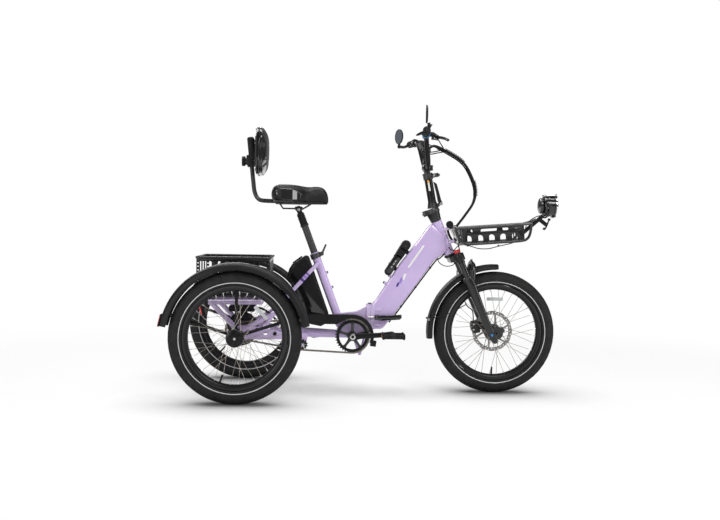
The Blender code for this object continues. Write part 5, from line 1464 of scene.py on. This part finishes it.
press(pad, pad_press)
upholster(pad, (PATENT,), lambda c, n: 0, "backrest", "leather", "backrest_pad")
skin = surface_of(pad)
welt = Piece("backrest_welt", HIDE, GLOSS, ALLOY)
for depth, scale, radius in ((0.008, 0.975, 0.0019), (-0.0125, 0.99, 0.0022)):
    route = [skin.find_nearest(point)[0] for point in pad_ring(depth, scale)]
    welt.tube(relaxed(route, 4), radius, 10, closed=True)
tray = [pad_ring(depth, scale) for depth, scale in ((-0.0225, 0.84), (-0.0222, 0.93), (-0.0185, 0.985),
                                                    (-0.012, 0.99), (-0.0118, 0.96))]
welt.loft(tray, 1)
for y in (-0.024, 0.024):
    for z in (-0.044, 0.044):
        welt.bolt(lean @ Vector((-0.0312, y, z)), (-1, 0, 0), 0.0058, 0.003, 2)
for z in (-0.085, 0.085):
    for y in (-0.12, 0.12):
        welt.bolt(lean @ Vector((-0.0215, y, z)), (-1, 0, 0), 0.005, 0.002, 2)
welt.done("backrest", "leather")

KNOB_Z = 0.998
knob = Piece("backrest_knob_fluted", PLASTIC, BRUSHED)
loops = []
for along, radius in ((0.0078, 0.015), (0.008, 0.0195), (0.006, 0.0215), (-0.0045, 0.0215), (-0.0066, 0.0195),
                      (-0.007, 0.012)):
    loops.append([Vector((REAR_AXLE.x + along, radius * (1 - 0.07 * (cos(8 * a) > 0.2)) * cos(a),
                          KNOB_Z + radius * (1 - 0.07 * (cos(8 * a) > 0.2)) * sin(a))) for a in turns(96)])
knob.loft(loops)
knob.turn([(0.0068, 0), (0.0068, 0.006)], at(0.007, KNOB_Z), (1, 0, 0), 24, 1)
knob.done("knob", "black_plastic", "backrest_knob")

collar = Piece("backrest_clamp", PLASTIC, ALLOY)
collar.block(at(0.034, 1.0), (0.0385, 0.043, 0.052), -6, 0.006)
collar.block(at(0.0345, 1.052), (0.03, 0.046, 0.102), -6, 0.009, segments=4)
for side in (-1, 1):
    collar.bolt(at(0.033, 1.066, side * 0.0228), (0, side, 0), 0.005, 0.0026, 1)
collar.turn([(0.013, 0), (0.016, 0.001), (0.016, 0.0085), (0.013, 0.01)], at(0.0175, KNOB_Z), (-1, 0, 0), 32, 1)
collar.done("backrest", "black_metal")

# Saddle clamp and the boot over the sprung post
RAIL_Z = 0.792
clamp = Piece("saddle_clamp", ALLOY, BRUSHED)
top = on_seat(0, 0, 0.2)
for y in (-0.0265, 0.0265):
    clamp.block(Vector((top.x, y, 0.7975)), (0.034, 0.01, 0.015), 0, 0.003)
clamp.tube([Vector((top.x, -0.034, RAIL_Z)), Vector((top.x, 0.034, RAIL_Z))], 0.0042, 14, 1)
for side in (-1, 1):
    clamp.turn([(0.014, 0), (0.014, 0.004), (0.011, 0.0065), (0.001, 0.0068)], Vector((top.x, side * 0.021, 0.7945)),
               (0, side, 0), 32)
    clamp.bolt(Vector((top.x, side * 0.034, RAIL_Z)), (0, side, 0), 0.0062, 0.004, 1)
clamp.done("seat", "black_metal")
boot = Piece("post_boot", RUBBER)
profile = [(0.0125, 0.129)]
for k in range(7):
    profile += [(0.0168, 0.13 + 0.0072 * k), (0.0178, 0.1318 + 0.0072 * k), (0.015, 0.1345 + 0.0072 * k)]
boot.turn([*profile, (0.016, 0.1815), (0.0125, 0.183)], SEAT_TOP, SEAT_UP, 36)
cover = boot.done(None, "rubber")
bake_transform(cover)
post = Piece("post_collar", ALLOY)
post.turn([(0.0125, 0), (0.0178, 0.0008), (0.0184, 0.003), (0.0184, 0.0085), (0.0165, 0.0105)], on_seat(0, 0, 0.1212),
          SEAT_UP, 36)
for k in range(9):
    post.tube([on_seat(-0.0032, -0.0154, 0.03 + 0.006 * k), on_seat(0.0032, -0.0154, 0.03 + 0.006 * k)], 0.0006, 6)
post.done("post", "black_metal")


# Cables
def cable(name, points, radius, spans=6):
    """A fixed cable along a smooth curve between the two bodies that it joins."""
    route = smooth(points, spans)
    made = Piece(name, RUBBER)
    made.tube(route, radius)
    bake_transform(made.done(None, "rubber", angle=60))


def spiral(route, radius, rounds):
    """A spiral round a stretch of cable."""
    found = []
    steps = rounds * 10
    lengths = [0.0]
    for a, b in zip(route, route[1:]):
        lengths.append(lengths[-1] + (b - a).length)
    for k in range(steps + 1):
        goal = lengths[-1] * k / steps
        n = max(i for i in range(len(route) - 1) if lengths[i] <= goal + 1e-9)
        share = (goal - lengths[n]) / (lengths[n + 1] - lengths[n])
        here = route[n].lerp(route[n + 1], share)
        run = (route[n + 1] - route[n]).normalized()
        side = run.cross(aside(1)).normalized()
        a = tau * k / 10
        found.append(here + (side * cos(a) + run.cross(side) * sin(a)) * radius)
    return found


LOOM = [at(0.8, 1.066, -0.05), at(0.83, 1.078, -0.035), at(0.886, 1.056, -0.02), at(0.961, 1.01, -0.006),
        at(1.003, 0.941), at(1.017, 0.885), at(1.008, 0.835), at(0.971, 0.778), at(0.936, 0.731)]
SPANS = 6
LOOM_RADIUS = 0.0056
UPPER, LOWER = ("stem", "steering"), ("steering", "front")
line = smooth(LOOM, SPANS)
middle = 4 * SPANS


def loom_part(name, route, radius, sides, bodies, *nodes, finish=RUBBER):
    """A stretch of the loom along the route. The bodies of its half are not used."""
    made = Piece(name, finish)
    made.tube(route, radius, sides)
    piece = made.done(None, "rubber", *nodes, angle=60)
    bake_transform(piece)
    return piece


for name, stretch, bodies in (("loom_upper", line[: middle + 1], UPPER), ("loom_lower", line[middle:], LOWER)):
    piece = loom_part(name, stretch, LOOM_RADIUS, 14, bodies, "cable_loom")
    run = sum((b - a).length for a, b in zip(stretch, stretch[1:]))
for name, first, last, radius, rounds, bodies in (("loom_wrap_upper", 11, 18, 0.0094, 11, UPPER),
                                                  ("loom_wrap_lower", 25, 32, 0.009, 10, LOWER)):
    loom_part(name, spiral(line[first : last + 1], radius, rounds), 0.0017, 6, bodies, finish=PLASTIC)
beside = [point + Vector((-0.0055, 0.0042, -0.0065)) for point in line]
for name, stretch, bodies in (("loom_side_upper", beside[8 : middle + 1], UPPER),
                              ("loom_side_lower", beside[middle:-1], LOWER)):
    loom_part(name, stretch, 0.0031, 10, bodies)

top_at = at(0.874, 1.0615, -0.023)
for name, points in (("brake_cable_right", [along_bar(-1, 0.16, 0.043, -0.004), at(0.832, 1.098, -0.12),
                                            at(0.85, 1.085, -0.07), top_at]),
                     ("brake_cable_left", [along_bar(1, 0.16, 0.043, -0.004), at(0.838, 1.09, 0.1),
                                           at(0.846, 1.076, 0.03), top_at + Vector((0, 0.005, -0.003))]),
                     ("display_cable", [at(0.789, 1.064), at(0.812, 1.046, -0.004), at(0.842, 1.05, -0.012),
                                        top_at + Vector((0, 0.002, -0.006))]),
                     ("throttle_cable", [at(0.775, 1.098, 0.2), at(0.792, 1.072, 0.15), at(0.822, 1.06, 0.07),
                                         top_at + Vector((0, 0.006, 0.003))])):
    cable(name, points, 0.0024, 7)

cable("brake_hose_upper", [at(0.94, 0.736, 0.004), on_head(0.05, 0.026, 0.026), on_head(0.058, 0.05, -0.04),
                           on_head(0.058, 0.078, -0.09), on_head(0.04, 0.0835, -0.13)], 0.0026)
cable("brake_hose_lower", [on_head(0.04, 0.0835, -0.13), on_head(0.01, 0.0855, -0.18), on_head(0.004, 0.084, -0.24),
                           on_head(-0.004, 0.08, axle_along + 0.15), FRONT_AXLE + Vector((-0.086, 0.064, 0.088)),
                           FRONT_AXLE + Vector((-0.082, 0.05, 0.046))], 0.0026)
lead = Piece("headlight_cable", RUBBER, PLASTIC)
lead.tube(smooth([at(0.898, 0.64, -0.03), at(0.911, 0.627, -0.034), at(0.924, 0.629, -0.034),
                  at(0.945, 0.649, -0.034), at(0.984, 0.648, -0.034), at(1.03, 0.636, -0.034),
                  at(1.074, 0.636, -0.034), at(1.12, 0.648, -0.034), at(1.183, 0.664, -0.03), at(1.226, 0.692, -0.02),
                  at(1.244, 0.742, -0.016), at(1.262, 0.764, -0.014), at(1.286, 0.779, -0.012),
                  at(1.306, 0.785, -0.008)], 7), 0.002, 10)
for x, z in ((0.984, 0.647), (1.12, 0.65), (1.19, 0.67)):
    lead.block(at(x, z, -0.021), (0.006, 0.008, 0.008), 0, 0.0015, 1)
lead.done("front", "rubber")
cable("crown_cable", [at(0.852, 0.596, -0.014), at(0.86, 0.571, -0.024), at(0.885, 0.557, -0.034),
                      at(0.913, 0.56, -0.04), at(0.932, 0.576, -0.044)], 0.0018)
guide = Piece("cable_guide", PLASTIC, BRUSHED)
guide.turn(even((0.001, 0.006), (0.014, 0.0055), (0.016, 0.003)), on_head(0.047, -0.02, 0.044), (0, 1, 0), 36)
guide.block(on_head(0.0465, -0.004, 0.02), (0.003, 0.026, 0.066), HEAD_TILT, 0.001, 1)
guide.done("front", "black_plastic")


# Camera, floor and lights
def area_light(name, place, target, size, power):
    """A soft light that faces its target."""
    data = bpy.data.lights.new(name, "AREA")
    data.shape = "RECTANGLE"
    data.size, data.size_y = size
    data.energy = power
    lamp = shown(name, data)
    lamp.location = place
    lamp.rotation_euler = (Vector(target) - Vector(place)).to_track_quat("-Z", "Y").to_euler()


WHITE = (1, 1, 1, 1)
PAPER_NEAR, PAPER_FAR = 1.1, 3.4
PAPER_GLOW = 0.72
CONTACT_REACH = 0.32
CONTACT_FROM, CONTACT_TO = 0.58, 0.98
FLOOR_CELLS, FLOOR_HALF = 40, 40
SKY_LIGHT = 0.16


def floor_look():
    """White paper, shaded where the object stands near it, that fades into the backdrop further out."""
    made = look("pale_floor", (0.9, 0.9, 0.905), 0.6, tone=0.01, cloud=2, spread=0.05, bump=0.01)
    tree = made.node_tree
    place = add(tree, "ShaderNodeTexCoord").outputs["Object"]
    length = add(tree, "ShaderNodeVectorMath", Vector=place)
    length.operation = "LENGTH"
    fade = add(tree, "ShaderNodeMapRange", Value=length.outputs["Value"], From_Min=PAPER_NEAR, From_Max=PAPER_FAR,
               To_Min=PAPER_GLOW)
    fade.interpolation_type = "SMOOTHSTEP"
    # Ambient occlusion darkens the floor's glow near the object: a painted contact shadow.
    near = add(tree, "ShaderNodeAmbientOcclusion", Distance=CONTACT_REACH)
    near.samples = 16
    shade = ramp(tree, near.outputs["AO"], CONTACT_FROM, CONTACT_TO, (0.01, 0.01, 0.01), (1, 1, 1))
    glow = add(tree, "ShaderNodeEmission", Color=shade).outputs["Emission"]
    mix_shaders(tree, fade.outputs["Result"], tree.nodes["Principled BSDF"].outputs["BSDF"], glow, "Material Output")
    return made


LIGHTS = (("key", (1.6, -3.4, 3.4), (0.1, 0, 0.5), (2.0, 1.2), 82),
          ("side", (-2.9, -3.2, 1.5), (-0.2, 0, 0.6), (0.9, 2.2), 50),
          ("front", (3.7, -1.3, 1.3), (0.1, 0, 0.6), (0.7, 2.2), 34),
          ("top", (0, 0.2, 3.6), (0, 0, 0.4), (3.2, 1.6), 100),
          ("back", (-1.5, 3.4, 2.4), (0, 0, 0.4), (2.4, 1.2), 40))
CAMERA_PLACE = (-0.2397, -4.086, 0.7061)
YAW, PITCH, ROLL = radians(3.007), radians(1.813), radians(-0.973)
LENS_MM, SENSOR_MM = 46.68, 36


def studio():
    """The floor, the backdrop, the lights and the camera, which stands to the right and looks slightly down."""
    sheet = bmesh.new()
    bmesh.ops.create_grid(sheet, x_segments=FLOOR_CELLS, y_segments=FLOOR_CELLS, size=FLOOR_HALF)
    data = bpy.data.meshes.new("studio_floor")
    sheet.to_mesh(data)
    sheet.free()
    data.materials.append(floor_look())
    ground = shown("studio_floor", data)

    world = bpy.data.worlds.new("studio")
    world.use_nodes = True
    tree = world.node_tree
    soft = tree.nodes["Background"]
    wire(tree, soft, Strength=SKY_LIGHT, Color=WHITE)
    seen = add(tree, "ShaderNodeBackground", Color=WHITE)
    mix_shaders(tree, add(tree, "ShaderNodeLightPath").outputs["Is Camera Ray"], soft.outputs["Background"],
                seen.outputs["Background"], "World Output")
    bpy.context.scene.world = world
    for light in LIGHTS:
        area_light(*light)

    ahead = Vector((sin(YAW) * cos(PITCH), cos(YAW) * cos(PITCH), -sin(PITCH)))
    level = Vector((cos(YAW), -sin(YAW), 0))
    down = ahead.cross(level)
    right = level * cos(ROLL) + down * sin(ROLL)
    below = down * cos(ROLL) - level * sin(ROLL)
    data = bpy.data.cameras.new("camera")
    data.sensor_width = SENSOR_MM
    data.lens = LENS_MM
    camera = shown("camera", data)
    camera.matrix_world = (Matrix.Translation(CAMERA_PLACE) @ Matrix((right, -below, -ahead)).transposed().to_4x4())
    bpy.context.scene.camera = camera
    bpy.context.scene.view_settings.view_transform = "Standard"


studio()
